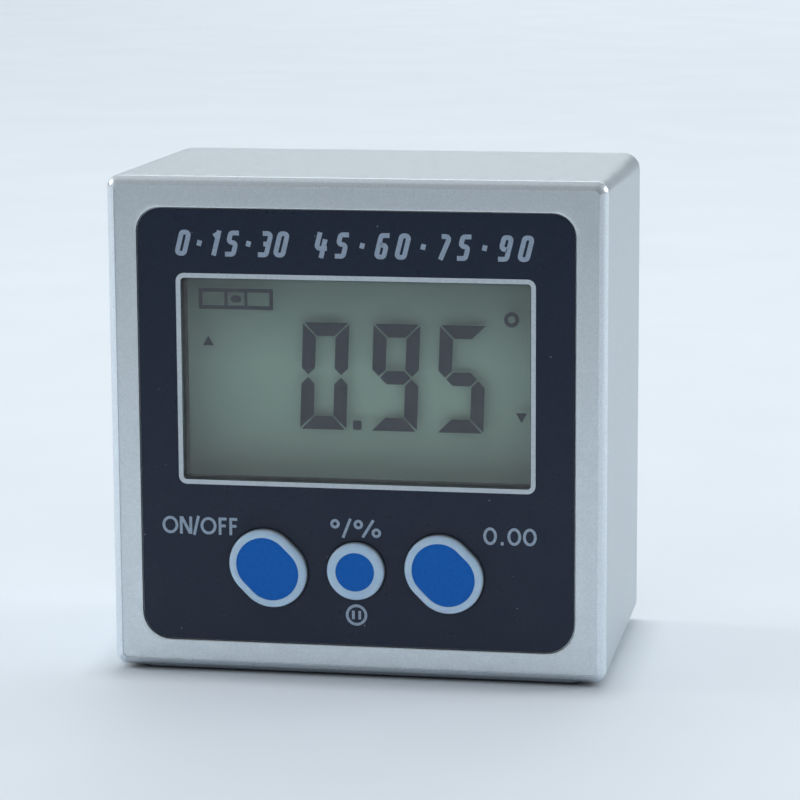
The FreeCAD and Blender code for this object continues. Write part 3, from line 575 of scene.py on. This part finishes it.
nickel = textured(
    "nickel_plate", (0.62, 0.58, 0.50), (0.74, 0.71, 0.64), 0.8, 0.16, 0.2, 0.001, Metallic=1.0
)
dress("base_magnets", nickel)


# Display frame: a black moulding that holds the display off the front wall. Its collar comes through
# the wall and lines the window.
frame_plastic = textured(
    "display_frame_plastic", (0.010, 0.011, 0.013), (0.018, 0.019, 0.022), 0.3, 0.5, 0.2, 0.004
)
dress("display_frame", frame_plastic)


# Dust gasket: a thin ring of black foam, cut from sheet and pressed between the frame's collar and
# the pane to keep dust off the display.
collar_clearance = 0.2
collar_outer = 0.95
gasket_low, gasket_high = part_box("dust_gasket")
gasket_front = gasket_low.y / mm - front
gasket_back = gasket_high.y / mm - front


def foam_finish(name, dark, light, cell):
    """Closed-cell foam: a skin of small bubbles of this size, a little paler on their rims."""
    finish = new_finish(name)
    nodes, links = finish.node_tree.nodes, finish.node_tree.links
    bubbles = nodes.new("ShaderNodeTexVoronoi")
    bubbles.inputs["Scale"].default_value = 1 / (cell * mm)
    links.new(nodes["own place"].outputs["Object"], bubbles.inputs["Vector"])
    set_on(finish, "Base Color", shades(finish, bubbles.outputs["Distance"], [(0.1, dark), (0.7, light)]))
    set_on(finish, "Roughness", ranged(finish, grain(finish, 4 * cell), 0.8, 0.95))
    set_on(finish, "Normal", relief(finish, bubbles.outputs["Distance"], 0.3 * cell))
    return finish


foam = foam_finish("black_foam", (0.008, 0.008, 0.008), (0.030, 0.030, 0.031), 0.12)
cushion = bmesh.new()
bulge_path = [(0.12, 0), (0.03, 0.12), (0, 0.35), (0, 0.65), (0.03, 0.88), (0.12, 1)]
thick = gasket_back - gasket_front
bundles = []
for edge, inward in ((collar_outer, -1), (collar_clearance, 1)):
    bundles.append(
        [
            ring(cushion, window_outline(edge + inward * inset), gasket_front + thick * share)
            for inset, share in bulge_path
        ]
    )
for rings in bundles:
    walls(cushion, rings)
for end in (0, -1):
    flat_face(cushion, [rings[end] for rings in bundles])
gasket_ring = made("gasket_ring", cushion, foam)
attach(gasket_ring, "case")
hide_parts("dust_gasket")


# Display: two glass plates with the liquid crystal sealed between them, a polarising film on the
# front and a film with a grey-green reflector on the back. Nothing but clear cement lies between the
# layers. It sits in the frame behind the pane.
film_low, film_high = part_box("display_front_polariser")
display_low, display_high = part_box("display_front_glass")
rear_low, rear_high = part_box("display_rear_glass")
crystal_depth = display_high.y / mm - front
layer_gap = 0.01


def box_outline(low, high, inset, corner):
    """The front outline of a node's room, drawn in by an inset."""
    return rounded(high.x / mm - inset, low.z / mm + inset, high.z / mm - inset, corner, corner)


def clear_sheet(name, low, high, near, far, edge, finish):
    """A flat clear sheet with slightly eased edges, which lets light on to what lies behind it."""
    shape = bmesh.new()
    path = eased([(2 * edge, near), (0, near), (0, far), (2 * edge, far)], [edge, edge])
    solid(shape, [ring(shape, box_outline(low, high, inset, 3 * edge), depth) for inset, depth in path])
    piece = made(name, shape, finish)
    piece.visible_shadow = False
    piece.visible_diffuse = False
    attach(piece, "case")
    return piece


film = textured(
    "polarising_film",
    dark=(0.05, 0.06, 0.06),
    light=(0.07, 0.08, 0.08),
    size=0.5,
    roughness=0.3,
    spread=0.2,
    height=0.001,
    Alpha=0.06,
    Specular_IOR_Level=0.1,
)
film_front = film_low.y / mm - front
film_back = film_high.y / mm - front - layer_gap
film_edge = 0.03
front_film = clear_sheet("front_film", film_low, film_high, film_front, film_back, film_edge, film)
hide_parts("display_front_polariser")

plate_glass = textured(
    "plate_glass",
    dark=(0.10, 0.14, 0.13),
    light=(0.14, 0.18, 0.17),
    size=9,
    roughness=0.02,
    spread=0.02,
    height=0.0,
    Alpha=0.03,
    Specular_IOR_Level=0.1,
)
glass_edge = 0.04
for name, low, high, near, far in (
    ("front_glass", display_low, display_high, display_low.y / mm - front, crystal_depth - layer_gap),
    ("rear_glass", rear_low, rear_high, crystal_depth + layer_gap, rear_high.y / mm - front - layer_gap),
):
    glass = clear_sheet(name, low, high, near, far, glass_edge, plate_glass)
    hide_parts("display_" + name)

reflector = textured(
    "display_reflector_film",
    dark=(0.400, 0.590, 0.470),
    light=(0.415, 0.610, 0.490),
    size=0.5,
    roughness=0.5,
    spread=0.1,
    height=0.002,
    Specular_IOR_Level=0.2,
)
# Painted shade: the crystal is coloured darker towards its upper edge, where the frame shades it
shade_start, shade_full = 34, 46
tint(reflector, along(reflector, "Z", shade_start, shade_full), (0.13, 0.21, 0.18))
dress("display_reflector", reflector)

digit_height = 11.95
digit_width = 5.2
digit_lean = 0.037
segment_width = 1.5
segment_gap = 0.2
digit_places = (-7.2, 0.72, 8.1)
digit_base = 26.9
crystal_half = 0.004


def dark_patch(shape, points):
    """An area of the liquid crystal that is switched dark."""
    slab(shape, points, crystal_depth - crystal_half, crystal_depth + crystal_half)


def segments(width, height, wide, gap):
    """A digit's bars: top, upper left and right, middle, lower left and right, bottom."""
    half = height / 2
    step = gap / math.sqrt(2)
    top = [
        (step, height),
        (width - step, height),
        (width - wide - step, height - wide),
        (wide + step, height - wide),
    ]
    left = [
        (0, height - step),
        (wide, height - wide - step),
        (wide, half + wide / 2 + step),
        (wide / 2, half + step),
        (0, half + wide / 2 + step),
    ]
    middle = [
        (wide / 2 + step, half),
        (wide + step, half + wide / 2),
        (width - wide - step, half + wide / 2),
        (width - wide / 2 - step, half),
        (width - wide - step, half - wide / 2),
        (wide + step, half - wide / 2),
    ]
    right = [(width - x, z) for x, z in left]
    bottom, low_left, low_right = ([(x, height - z) for x, z in bar] for bar in (top, left, right))
    return [top, left, right, middle, low_left, low_right, bottom]


# The reading is nought point nine five
lit_bars = ((0, 1, 2, 4, 5, 6), (0, 1, 2, 3, 5, 6), (0, 1, 3, 5, 6))
bars = segments(digit_width, digit_height, segment_width, segment_gap)
digits = bmesh.new()
for place, lit in zip(digit_places, lit_bars):
    for which in lit:
        dark_patch(digits, [(place + x + digit_lean * z, digit_base + z) for x, z in bars[which]])
point_place = -0.75
point_low, point_high = digit_base + 0.05, digit_base + 1.1
point = rounded(0.5, point_low, point_high, 0.2, 0.2)
dark_patch(digits, [(x + point_place, z) for x, z in point])
lcd_digits = made("display_digits", digits)

# A degree ring, and two triangles that point the way to level
degree_place = (16.45, 39.6)
degree_steps = 24
marks = bmesh.new()
inner, outer = (circle(*degree_place, radius, count=degree_steps) for radius in (0.4, 0.85))
for i in range(degree_steps):
    dark_patch(marks, [inner[i - 1], outer[i - 1], outer[i], inner[i]])
pointer_half = 0.62
for x, z, rise in ((-17.5, 36.0, 1.1), (17.55, 29.3, -1.1)):
    dark_patch(marks, [(x - pointer_half, z), (x + pointer_half, z), (x, z + rise)])
# A level's vial with its bubble between two lines
vial_left, vial_right = -18.5, -10.1
vial_low, vial_high = 40.1, 42.42
vial_line = 0.42
bubble_line = 0.35
bubble_place = (-14.3, 41.26)
bubble_half, bubble_rise = 0.6, 0.42
inside_low, inside_high = vial_low + vial_line, vial_high - vial_line
for left, right, low, high in (
    (vial_left, vial_right, inside_high, vial_high),
    (vial_left, vial_right, vial_low, inside_low),
    (vial_left, vial_left + vial_line, inside_low, inside_high),
    (vial_right - vial_line, vial_right, inside_low, inside_high),
    (-15.6, -15.6 + bubble_line, inside_low, inside_high),
    (-13.0 - bubble_line, -13.0, inside_low, inside_high),
):
    dark_patch(marks, [(left, low), (right, low), (right, high), (left, high)])
dark_patch(marks, circle(*bubble_place, bubble_half, bubble_rise))
lcd_marks = made("display_marks", marks)

dark_crystal = textured(
    "dark_crystal",
    dark=(0.004, 0.010, 0.032),
    light=(0.006, 0.014, 0.040),
    size=0.6,
    roughness=0.5,
    spread=0.1,
    height=0.0005,
    Specular_IOR_Level=0.0,
)
for piece in (lcd_digits, lcd_marks):
    piece.data.materials.append(dark_crystal)
    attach(piece, "case")


# Window lens: a clear acrylic pane with a thin step all round. The step lies in the case under the
# label, and the pane's face comes flush with the label's.
pane = bmesh.new()
pane_gap = 0.02
pane_edge = 0.05
pane_path = [(-0.3, label_front), (-pane_gap, label_front), (-pane_gap, label_back)]
pane_path = eased(pane_path, [pane_edge])
pane_path += [(lens_flange, label_back), (lens_flange, lens_back)]
pane_rings = [ring(pane, window_outline(grown), depth) for grown, depth in pane_path]
solid(pane, pane_rings)
clear_pane = made("clear_pane", pane)
acrylic = textured(
    "pane_acrylic",
    dark=(0.96, 0.98, 0.98),
    light=(1.0, 1.0, 1.0),
    size=7,
    roughness=0.0,
    spread=0.03,
    height=0.0,
    Transmission_Weight=1.0,
    IOR=1.49,
)
clear_pane.data.materials.append(acrylic)
clear_pane.visible_shadow = False
clear_pane.visible_diffuse = False
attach(clear_pane, "case")
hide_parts("window_lens")


# Front label: a dark plastic plate, printed from the front and glued into the case's pocket. It is
# open at the window and round the buttons, and its satin face has picked up a little dust.
button_opening = 0.09
label_edges = [0.02, 0.05]
plate = bmesh.new()
plate_path = [(0.3, label_back), (0, label_back), (0, label_front), (0.3, label_front)]
plate_path = eased(plate_path, label_edges)
bundles = [[ring(plate, label_outline(-inset), depth) for inset, depth in plate_path]]
bundles.append([ring(plate, window_outline(inset), depth) for inset, depth in plate_path])
for x, half_across, half_run in button_shapes.values():
    hole = half_across + button_opening
    bundles.append(
        [ring(plate, button_outline(x, hole + inset, half_run), depth) for inset, depth in plate_path]
    )
for rings in bundles:
    walls(plate, rings)
for end in (0, -1):
    flat_face(plate, [rings[end] for rings in bundles])
label_plate = made("label_plate", plate)


def specks(finish, spacing, share, seed):
    """Sparse specks: an amount that is 1 in a speck and 0 elsewhere."""
    nodes, links = finish.node_tree.nodes, finish.node_tree.links
    cells = nodes.new("ShaderNodeTexVoronoi")
    cells.inputs["Scale"].default_value = 1 / (spacing * mm)
    moved = nodes.new("ShaderNodeVectorMath")
    moved.inputs[1].default_value = (seed, seed, seed)
    links.new(nodes["own place"].outputs["Object"], moved.inputs[0])
    links.new(moved.outputs["Vector"], cells.inputs["Vector"])
    near = nodes.new("ShaderNodeMapRange")
    near.inputs["From Min"].default_value = share
    near.inputs["From Max"].default_value = share * 0.6
    links.new(cells.outputs["Distance"], near.inputs["Value"])
    return near.outputs["Result"]


label_finish = textured(
    "label_plastic",
    dark=(0.0145, 0.0235, 0.0480),
    light=(0.0170, 0.0265, 0.0530),
    size=0.5,
    roughness=0.26,
    spread=0.12,
    height=0.0015,
    Specular_IOR_Level=0.3,
)
dust_spacing = 2.2
dust_share = 0.040
dust_seed = 3
tint(label_finish, specks(label_finish, dust_spacing, dust_share, dust_seed), (0.26, 0.29, 0.33))
label_plate.data.materials.append(label_finish)
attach(label_plate, "case")
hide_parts("front_label")


# Printing: pale ink screened on the label. It draws the window's border, a leaning scale of degrees
# above it and small signs beside the buttons.
ink_film = 0.015
# Strokes that cross differ in height by this much
ink_step = 0.003
ink = textured("screened_ink", (0.34, 0.43, 0.55), (0.41, 0.50, 0.63), 0.25, 0.5, 0.2, 0.002)
border_ink = textured("border_ink", (0.62, 0.70, 0.76), (0.70, 0.78, 0.84), 0.25, 0.45, 0.2, 0.002)


def stroke(shape, points, width, closed=False, film=ink_film):
    """A printed stroke along the points, with mitred corners."""
    stations = []
    for i, place in enumerate(points):
        here = Vector(place)
        on = (Vector(points[(i + 1) % len(points)]) - here).normalized()
        back = (here - Vector(points[i - 1])).normalized()
        if not closed and i == 0:
            back = on
        if not closed and i == len(points) - 1:
            on = back
        across = Vector((-back.y - on.y, back.x + on.x)).normalized()
        reach = width / 2 / max(across.dot(Vector((-on.y, on.x))), 0.45)
        left, right = here + across * reach, here - across * reach
        stations.append(
            ring(shape, [left, right], label_front - film) + ring(shape, [right, left], label_front)
        )
    if closed:
        walls(shape, stations + [stations[0]])
    else:
        solid(shape, stations)


def printed(name, shape, finish):
    """Print that goes with the label."""
    piece = made(name, shape, finish)
    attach(piece, "case")


border_width = 0.52
border_gap = 0.04
border = bmesh.new()
stroke(border, window_outline(border_width / 2 + border_gap), border_width, closed=True)
printed("window_border", border, border_ink)

figure_height = 2.85
figure_width = 1.35
figure_stroke = 0.52
figure_lean = 0.25
figure_corner = 0.3
scale_base = 46.65
# Strokes of each figure, its width 1 and its height 2
figures = {
    "0": [[(0.5, 0), (1, 0), (1, 2), (0, 2), (0, 0), (0.5, 0)]],
    "1": [[(0.6, 2.2), (0.6, -0.15)], [(0.05, 1.65), (0.6, 1.95)]],
    "3": [[(-0.1, 2), (1, 2), (1, 0), (-0.1, 0)], [(0.3, 1), (1, 1)]],
    "4": [[(-0.1, 2.2), (-0.1, 0.7), (1.3, 0.7)], [(0.8, 1.55), (0.8, -0.2)]],
    "5": [[(1.1, 2), (0, 2), (0, 1.1), (1, 1.1), (1, 0), (-0.1, 0)]],
    "6": [[(1.1, 2), (0, 2), (0, 0), (1, 0), (1, 1.1), (0.25, 1.1)]],
    "7": [[(-0.1, 2), (1, 2), (0.45, -0.15)]],
    "9": [[(-0.1, 0), (1, 0), (1, 2), (0, 2), (0, 0.9), (0.75, 0.9)]],
    " ": [[(0.5, 1.25), (0.5, 0.75)]],
}


def write_scale(shape, text, left, right):
    """Leaning figures spread evenly between two places, with a tick for each space."""
    pitch = (right - left - figure_width) / (len(text) - 1)
    edge = figure_stroke / 2
    wide, tall = figure_width - figure_stroke, (figure_height - figure_stroke) / 2
    for i, figure in enumerate(text):
        for order, points in enumerate(figures[figure]):
            drawn = []
            for x, z in points:
                up = edge + z * tall
                across = left + i * pitch + edge + x * wide + figure_lean * (up - figure_height / 2)
                drawn.append((across, scale_base + up))
            drawn = eased(drawn, [figure_corner] * len(drawn), steps=3)
            closed = points[0] == points[-1]
            if closed:
                drawn.pop()
            stroke(shape, drawn, figure_stroke, closed, ink_film - ink_step * order)


scale = bmesh.new()
write_scale(scale, "0 15 30", -19.6, -7.3)
write_scale(scale, "45 60 75 90", -4.2, 19.4)
printed("degree_scale", scale, ink)

letter_height = 1.95
letter_stroke = 0.31
reach_in = letter_stroke / 2


def oval(shape, left, low, wide, tall=letter_height):
    """A round letter or figure, drawn inside a box."""
    outline = circle(left + wide / 2, low + tall / 2, wide / 2 - reach_in, tall / 2 - reach_in, 36)
    stroke(shape, outline, letter_stroke, closed=True)


def upright(shape, x, low, high, film=ink_film):
    """An upright stroke of a letter."""
    stroke(shape, [(x, low), (x, high)], letter_stroke, film=film)


# ON/OFF
capital_width = 1.8
power_sign_base = 15.7
signs = bmesh.new()
low, high = power_sign_base, power_sign_base + letter_height
oval(signs, -21.79, low, capital_width)
for x in (-19.66, -18.57):
    upright(signs, x, low, high)
slant = [(-19.81, high), (-19.43, high), (-18.42, low), (-18.80, low)]
slab(signs, slant, label_front - ink_film + ink_step, label_front)
stroke(signs, [(-18.2, low - 0.1), (-17.68, high + 0.1)], letter_stroke)
oval(signs, -17.46, low, capital_width)
for left in (-15.26, -14.05):
    upright(signs, left, low, high)
    for level, reach in ((high - reach_in, 0.9), (low + 0.52 * letter_height, 0.8)):
        arm = [(left, level), (left + reach - reach_in, level)]
        stroke(signs, arm, letter_stroke, film=ink_film - ink_step)
printed("power_sign", signs, ink)

# A degree sign, a stroke and a per cent sign
mode_sign_base = 15.95
small = 1.05
signs = bmesh.new()
low, high = mode_sign_base, mode_sign_base + letter_height
oval(signs, -2.85, high - small, small, small)
stroke(signs, [(-1.45, low - 0.1), (-0.6, high + 0.1)], letter_stroke)
oval(signs, -0.25, high - small, small, small)
oval(signs, 1.75, low, small, small)
stroke(signs, [(0.75, low), (1.95, high)], letter_stroke)
printed("mode_sign", signs, ink)

# A pause mark in a ring
hold_sign_base = 6.0
hold_ring = 2.4
pause_x = 0.36
pause_inset = 0.72
signs = bmesh.new()
low, high = hold_sign_base, hold_sign_base + hold_ring
oval(signs, -hold_ring / 2, low, hold_ring, hold_ring)
for x in (-pause_x, pause_x):
    upright(signs, x, low + pause_inset, high - pause_inset)
printed("hold_sign", signs, ink)

# 0.00
zero_sign_base = 15.6
nought_width = 1.5
point_x = 16.18
point_height = 0.36
signs = bmesh.new()
for left in (14.1, 16.75, 18.45):
    oval(signs, left, zero_sign_base, nought_width)
upright(signs, point_x, zero_sign_base, zero_sign_base + point_height)
printed("zero_sign", signs, ink)


# Buttons: three milky plastic caps that come through the label, each with a blue plate let into its
# face. A flange behind the front wall keeps a cap in, and a stem behind it works the switch.
cap_front = cap_low.y / mm - front
flange_depth = 2.65
stem_depth = 3.45
stem_radius = 1.5
stem_end = cap_high.y / mm - front
flange_width = 0.7
rims = {"power": 0.87, "mode": 1.05, "zero": 0.87}
inlay_thickness = 0.6
inlay_drop = 0.04
inlay_gap = 0.005
inlay_edge = 0.04
# Roundings of the flange, its root, the cap's front edge and the edge of the inlay's pocket
cap_edges = [0.1, 0.05, 0.5, 0.06]

milky = textured(
    "milky_plastic",
    dark=(0.56, 0.76, 1.00),
    light=(0.61, 0.80, 1.00),
    size=0.8,
    roughness=0.18,
    spread=0.1,
    height=0.001,
    Subsurface_Weight=0.25,
    Subsurface_Scale=0.001,
    IOR=1.49,
)
# Painted shade: the moulding's colour turns grey towards its edge, for the dark reflections on its
# rounded edge
edge_shade_start, edge_shade_full = front + cap_front + 0.15, front + cap_front + 0.7
tint(milky, along(milky, "Y", edge_shade_start, edge_shade_full), (0.34, 0.37, 0.40))
blue = textured(
    "blue_plate",
    dark=(0.003, 0.140, 0.57),
    light=(0.005, 0.158, 0.62),
    size=0.35,
    roughness=0.36,
    spread=0.14,
    height=0.002,
    Specular_IOR_Level=0.2,
)
for name, (x, half_across, half_run) in button_shapes.items():
    body = name + "_button"
    pocket = half_across - rims[name]
    inlay_front = cap_front + inlay_drop
    inlay_back = inlay_front + inlay_thickness
    profile = [
        (half_across + flange_width, stem_depth),
        (half_across + flange_width, flange_depth),
        (half_across, flange_depth),
        (half_across, cap_front),
        (pocket, cap_front),
        (pocket, inlay_back),
    ]
    capped = bmesh.new()
    path = eased(profile, cap_edges, steps=6)
    rings = [ring(capped, button_outline(x, across, half_run), depth) for across, depth in path]
    solid(capped, rings)
    slab(capped, circle(x, button_level, stem_radius), stem_depth, stem_end)
    button = made(name + "_cap", capped, milky)
    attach(button, body)
    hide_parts(body + "_cap")

    plate = bmesh.new()
    path = [(0.3, inlay_front), (inlay_gap, inlay_front), (inlay_gap, inlay_back)]
    path = eased(path, [inlay_edge])
    rings = [ring(plate, button_outline(x, pocket - inset, half_run), depth) for inset, depth in path]
    solid(plate, rings)
    inlay = made(name + "_plate", plate, blue)
    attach(inlay, body)
    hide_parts(body + "_inlay")


# Behind the display: a strip of striped rubber carries its contacts to the circuit board, and a strip
# of foam steadies its other edge.
def banded(name, first, second, pitch, roughness):
    """Even bands of two colours across the piece."""
    finish = new_finish(name)
    nodes, links = finish.node_tree.nodes, finish.node_tree.links
    bands = nodes.new("ShaderNodeTexWave")
    bands.bands_direction = "X"
    bands.inputs["Scale"].default_value = math.pi / 10 / (pitch * mm)
    bands.inputs["Distortion"].default_value = 0.0
    links.new(nodes["own place"].outputs["Object"], bands.inputs["Vector"])
    set_on(finish, "Base Color", shades(finish, bands.outputs["Fac"], [(0.45, first), (0.55, second)]))
    set_on(finish, "Roughness", ranged(finish, grain(finish, 1.5), roughness, roughness + 0.15))
    set_on(finish, "Normal", relief(finish, grain(finish, 0.2), 0.004))
    return finish


striped_rubber = banded("striped_rubber", (0.02, 0.02, 0.02), (0.42, 0.13, 0.12), 0.2, 0.5)
dress("contact_strip", striped_rubber)


foam_corner = 0.4


def foam_block(name, node, finish, body):
    """A foam block that bulges a little between its cut faces, in the room of a node."""
    low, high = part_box(node)
    near, far = low.y / mm - front, high.y / mm - front
    shape = bmesh.new()
    rings = [
        ring(shape, box_outline(low, high, inset, foam_corner), near + (far - near) * share)
        for inset, share in bulge_path
    ]
    solid(shape, rings)
    piece = made(name, shape, finish)
    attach(piece, body)
    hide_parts(node)


foam_block("steady_strip", "foam_strip", foam, "case")


# Circuit board: green glass laminate, screwed to the case's standoffs with zinc-plated screws. Its
# chip, tilt sensor and small parts are soldered to it on tinned legs and pads.
def metal(name, dark, light, size, roughness, spread, height):
    """An even finish of bare or plated metal."""
    return textured(name, dark, light, size, roughness, spread, height, Metallic=1.0)


laminate = textured("board_laminate", (0.008, 0.075, 0.03), (0.012, 0.105, 0.045), 0.5, 0.25, 0.15, 0.01)
zinc = metal("zinc_steel", (0.42, 0.43, 0.45), (0.58, 0.59, 0.62), 0.3, 0.25, 0.2, 0.003)
resin = textured("chip_resin", (0.012, 0.012, 0.013), (0.024, 0.024, 0.026), 0.1, 0.5, 0.2, 0.006)
tinned = metal("tinned_metal", (0.50, 0.50, 0.50), (0.68, 0.68, 0.67), 0.25, 0.25, 0.2, 0.004)
sensor = textured("sensor_ceramic", (0.22, 0.19, 0.15), (0.30, 0.26, 0.21), 0.15, 0.6, 0.2, 0.004)
can_steel = metal("can_steel", (0.48, 0.48, 0.49), (0.60, 0.60, 0.61), 0.5, 0.28, 0.15, 0.003)
can_foil = metal("can_aluminium", (0.60, 0.60, 0.62), (0.72, 0.72, 0.74), 0.4, 0.22, 0.15, 0.003)
brown = textured("chip_ceramic_brown", (0.30, 0.19, 0.10), (0.38, 0.25, 0.14), 0.1, 0.5, 0.2, 0.003)
black = textured("chip_ceramic_black", (0.02, 0.02, 0.022), (0.04, 0.04, 0.042), 0.1, 0.4, 0.2, 0.003)
for node, finish in (
    ("circuit_board", laminate),
    ("board_screws", zinc),
    ("controller_chip", resin),
    ("controller_legs", tinned),
    ("switch_terminals", tinned),
    ("solder_joints", tinned),
    ("tilt_sensor", sensor),
    ("crystal", can_steel),
    ("electrolytic_capacitor", can_foil),
    ("chip_capacitors", brown),
    ("chip_resistors", black),
):
    dress(node, finish)


# Switches: three push switches, each a black body under a steel cover, with a plunger that the
# button's stem pushes. Below it lies a snap dome, pressed from sprung sheet, which goes flat.
switch_plastic = textured(
    "switch_plastic", (0.014, 0.014, 0.015), (0.026, 0.026, 0.028), 0.2, 0.45, 0.2, 0.004
)
dress("switch_bodies", switch_plastic)
dress("switch_covers", can_steel)
dome_sheet = 0.12
dome_steps = 8
for name, (x, _, _) in button_shapes.items():
    dress(name + "_switch_plunger", switch_plastic)
    dome_low, dome_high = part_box(name + "_switch_dome")
    crown, foot_depth = dome_low.y / mm - front, dome_high.y / mm - front
    half, rise = (dome_high.x - dome_low.x) / mm / 2, foot_depth - crown
    ball = (half**2 + rise**2) / (2 * rise)
    profile = []
    for radius, steps in (
        (ball, range(1, dome_steps + 1)),
        (ball - dome_sheet, range(dome_steps, 0, -1)),
    ):
        reach = math.acos((ball - rise) / radius)
        turns = [reach * step / dome_steps for step in steps]
        profile += [(radius * math.sin(t), crown + ball - radius * math.cos(t)) for t in turns]
    sprung = bmesh.new()
    rings = [ring(sprung, circle(x, button_level, across), depth) for across, depth in profile]
    solid(sprung, rings)
    dome = made(name + "_dome", sprung, nickel)
    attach(dome, "case")
    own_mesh(dome)
    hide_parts(name + "_switch_dome")


# Back cover: a black moulding with a fine spark-eroded grain, screwed into the case's back. Its
# pocket holds the two cells.
black_moulding = textured(
    "cover_plastic", (0.018, 0.018, 0.020), (0.028, 0.028, 0.031), 0.22, 0.44, 0.1, 0.012
)
dress("back_cover", black_moulding)
black_zinc = metal("black_zinc", (0.05, 0.05, 0.055), (0.12, 0.12, 0.13), 0.3, 0.3, 0.2, 0.003)
dress("cover_screws", black_zinc)


# Cells: two steel cans in shrunk printed sleeves, held between coil springs and nickel-plated
# contacts. A red and a black lead, in soft plastic, carry the current to the board.
dress("battery_cans", can_steel)
sleeve = textured("cell_sleeve", (0.030, 0.075, 0.035), (0.040, 0.095, 0.045), 2.0, 0.2, 0.15, 0.004)
dress("battery_sleeves", sleeve)
for node in ("contact_springs", "bridge_contact", "negative_contact", "positive_contact"):
    dress(node, nickel)
for node, colour in (("red_lead", (0.45, 0.012, 0.010)), ("black_lead", (0.012, 0.012, 0.013))):
    paler = tuple(1.4 * part + 0.005 for part in colour)
    dress(node, textured(node + "_insulation", colour, paler, 0.6, 0.35, 0.15, 0.003))


# Battery door: a lid of the cover's black moulding, which hinges on two tongues at its lower edge. A
# foam pad glued inside it keeps the cells quiet.
dress("battery_door", black_moulding)
foam_block("quiet_pad", "door_pad", foam, "battery_door")


# Studio: a pale sheet of paper lies under the case and rises behind it. Soft lamps stand on either
# side, behind and overhead, one more lights the far paper, and the rest comes from the room.
sweep_half = 1.6
sweep_front, sweep_back = -0.345, 3.6
sweep_rise = 0.9
sweep_bend = 0.5
sweep_line = [(sweep_front, 0), (sweep_back, 0), (sweep_back, sweep_rise)]
sweep_line = eased(sweep_line, [sweep_bend], steps=40)
sweep = bmesh.new()
strip = [[sweep.verts.new((side * sweep_half, y, z)) for side in (-1, 1)] for y, z in sweep_line]
for near, far in zip(strip, strip[1:]):
    sweep.faces.new((near[0], near[1], far[1], far[0]))
sweep_mesh = bpy.data.meshes.new("paper_sweep")
sweep.to_mesh(sweep_mesh)
sweep.free()
for face in sweep_mesh.polygons:
    face.use_smooth = True
paper_sweep = bpy.data.objects.new("paper_sweep", sweep_mesh)
bpy.context.scene.collection.objects.link(paper_sweep)
paper = textured("studio_paper", (0.805, 0.857, 0.908), (0.825, 0.877, 0.928), 40.0, 0.6, 0.1, 0.0)
sweep_mesh.materials.append(paper)


def lamp(name, place, size, power, aim=(0, 0, 0.03), mirrored=True):
    """A soft lamp that looks at the case, or at another place. Metal may mirror it or not."""
    light = bpy.data.lights.new(name, "AREA")
    light.size = size
    light.energy = power
    light.color = (0.95, 0.98, 1.0)
    holder = bpy.data.objects.new(name, light)
    bpy.context.scene.collection.objects.link(holder)
    turn = (Vector(aim) - Vector(place)).to_track_quat("-Z", "Y").to_matrix()
    holder.matrix_world = Matrix.Translation(place) @ turn.to_4x4()
    holder.visible_glossy = mirrored


lamp("left_lamp", (-0.90, 0.06, 0.43), 0.35, 2.2)
lamp("right_lamp", (0.88, 0.30, 0.40), 0.5, 2.1)
lamp("back_lamp", (-0.20, 0.62, 0.90), 0.5, 0.3)
lamp("top_lamp", (0.0, 0.035, 1.0), 0.08, 2.35, mirrored=False)
lamp("paper_lamp", (0, 1.6, 1.0), 1.2, 7.1, aim=(0, 1.6, 0))

# The room is brightest half way up and a little to the left, and darkest at the camera's side
world = bpy.data.worlds.new("studio")
bpy.context.scene.world = world
world.use_nodes = True
nodes, links = world.node_tree.nodes, world.node_tree.links
outlook = nodes.new("ShaderNodeTexCoord")
way = nodes.new("ShaderNodeSeparateXYZ")
links.new(outlook.outputs["Generated"], way.inputs["Vector"])
world_light = None
for axis, stops in (
    ("X", ((0.0, 1.00), (0.38, 1.24), (0.5, 0.98), (1.0, 0.84))),
    ("Y", ((0.0, 0.24), (0.3, 0.48), (0.5, 0.82), (1.0, 0.50))),
    ("Z", ((0.5, 0.52), (0.72, 1.0), (1.0, 0.66))),
):
    spread = nodes.new("ShaderNodeMapRange")
    spread.inputs["From Min"].default_value = -1.0
    links.new(way.outputs[axis], spread.inputs["Value"])
    part = shades(world, spread.outputs["Result"], [(place, [level] * 3) for place, level in stops])
    both = nodes.new("ShaderNodeMix")
    both.data_type = "RGBA"
    both.blend_type = "MULTIPLY"
    both.inputs["Factor"].default_value = 1.0
    both.inputs["A"].default_value = (0.96, 1.01, 1.06, 1)
    if world_light:
        links.new(world_light, both.inputs["A"])
    links.new(part, both.inputs["B"])
    world_light = both.outputs["Result"]
links.new(world_light, nodes["Background"].inputs["Color"])
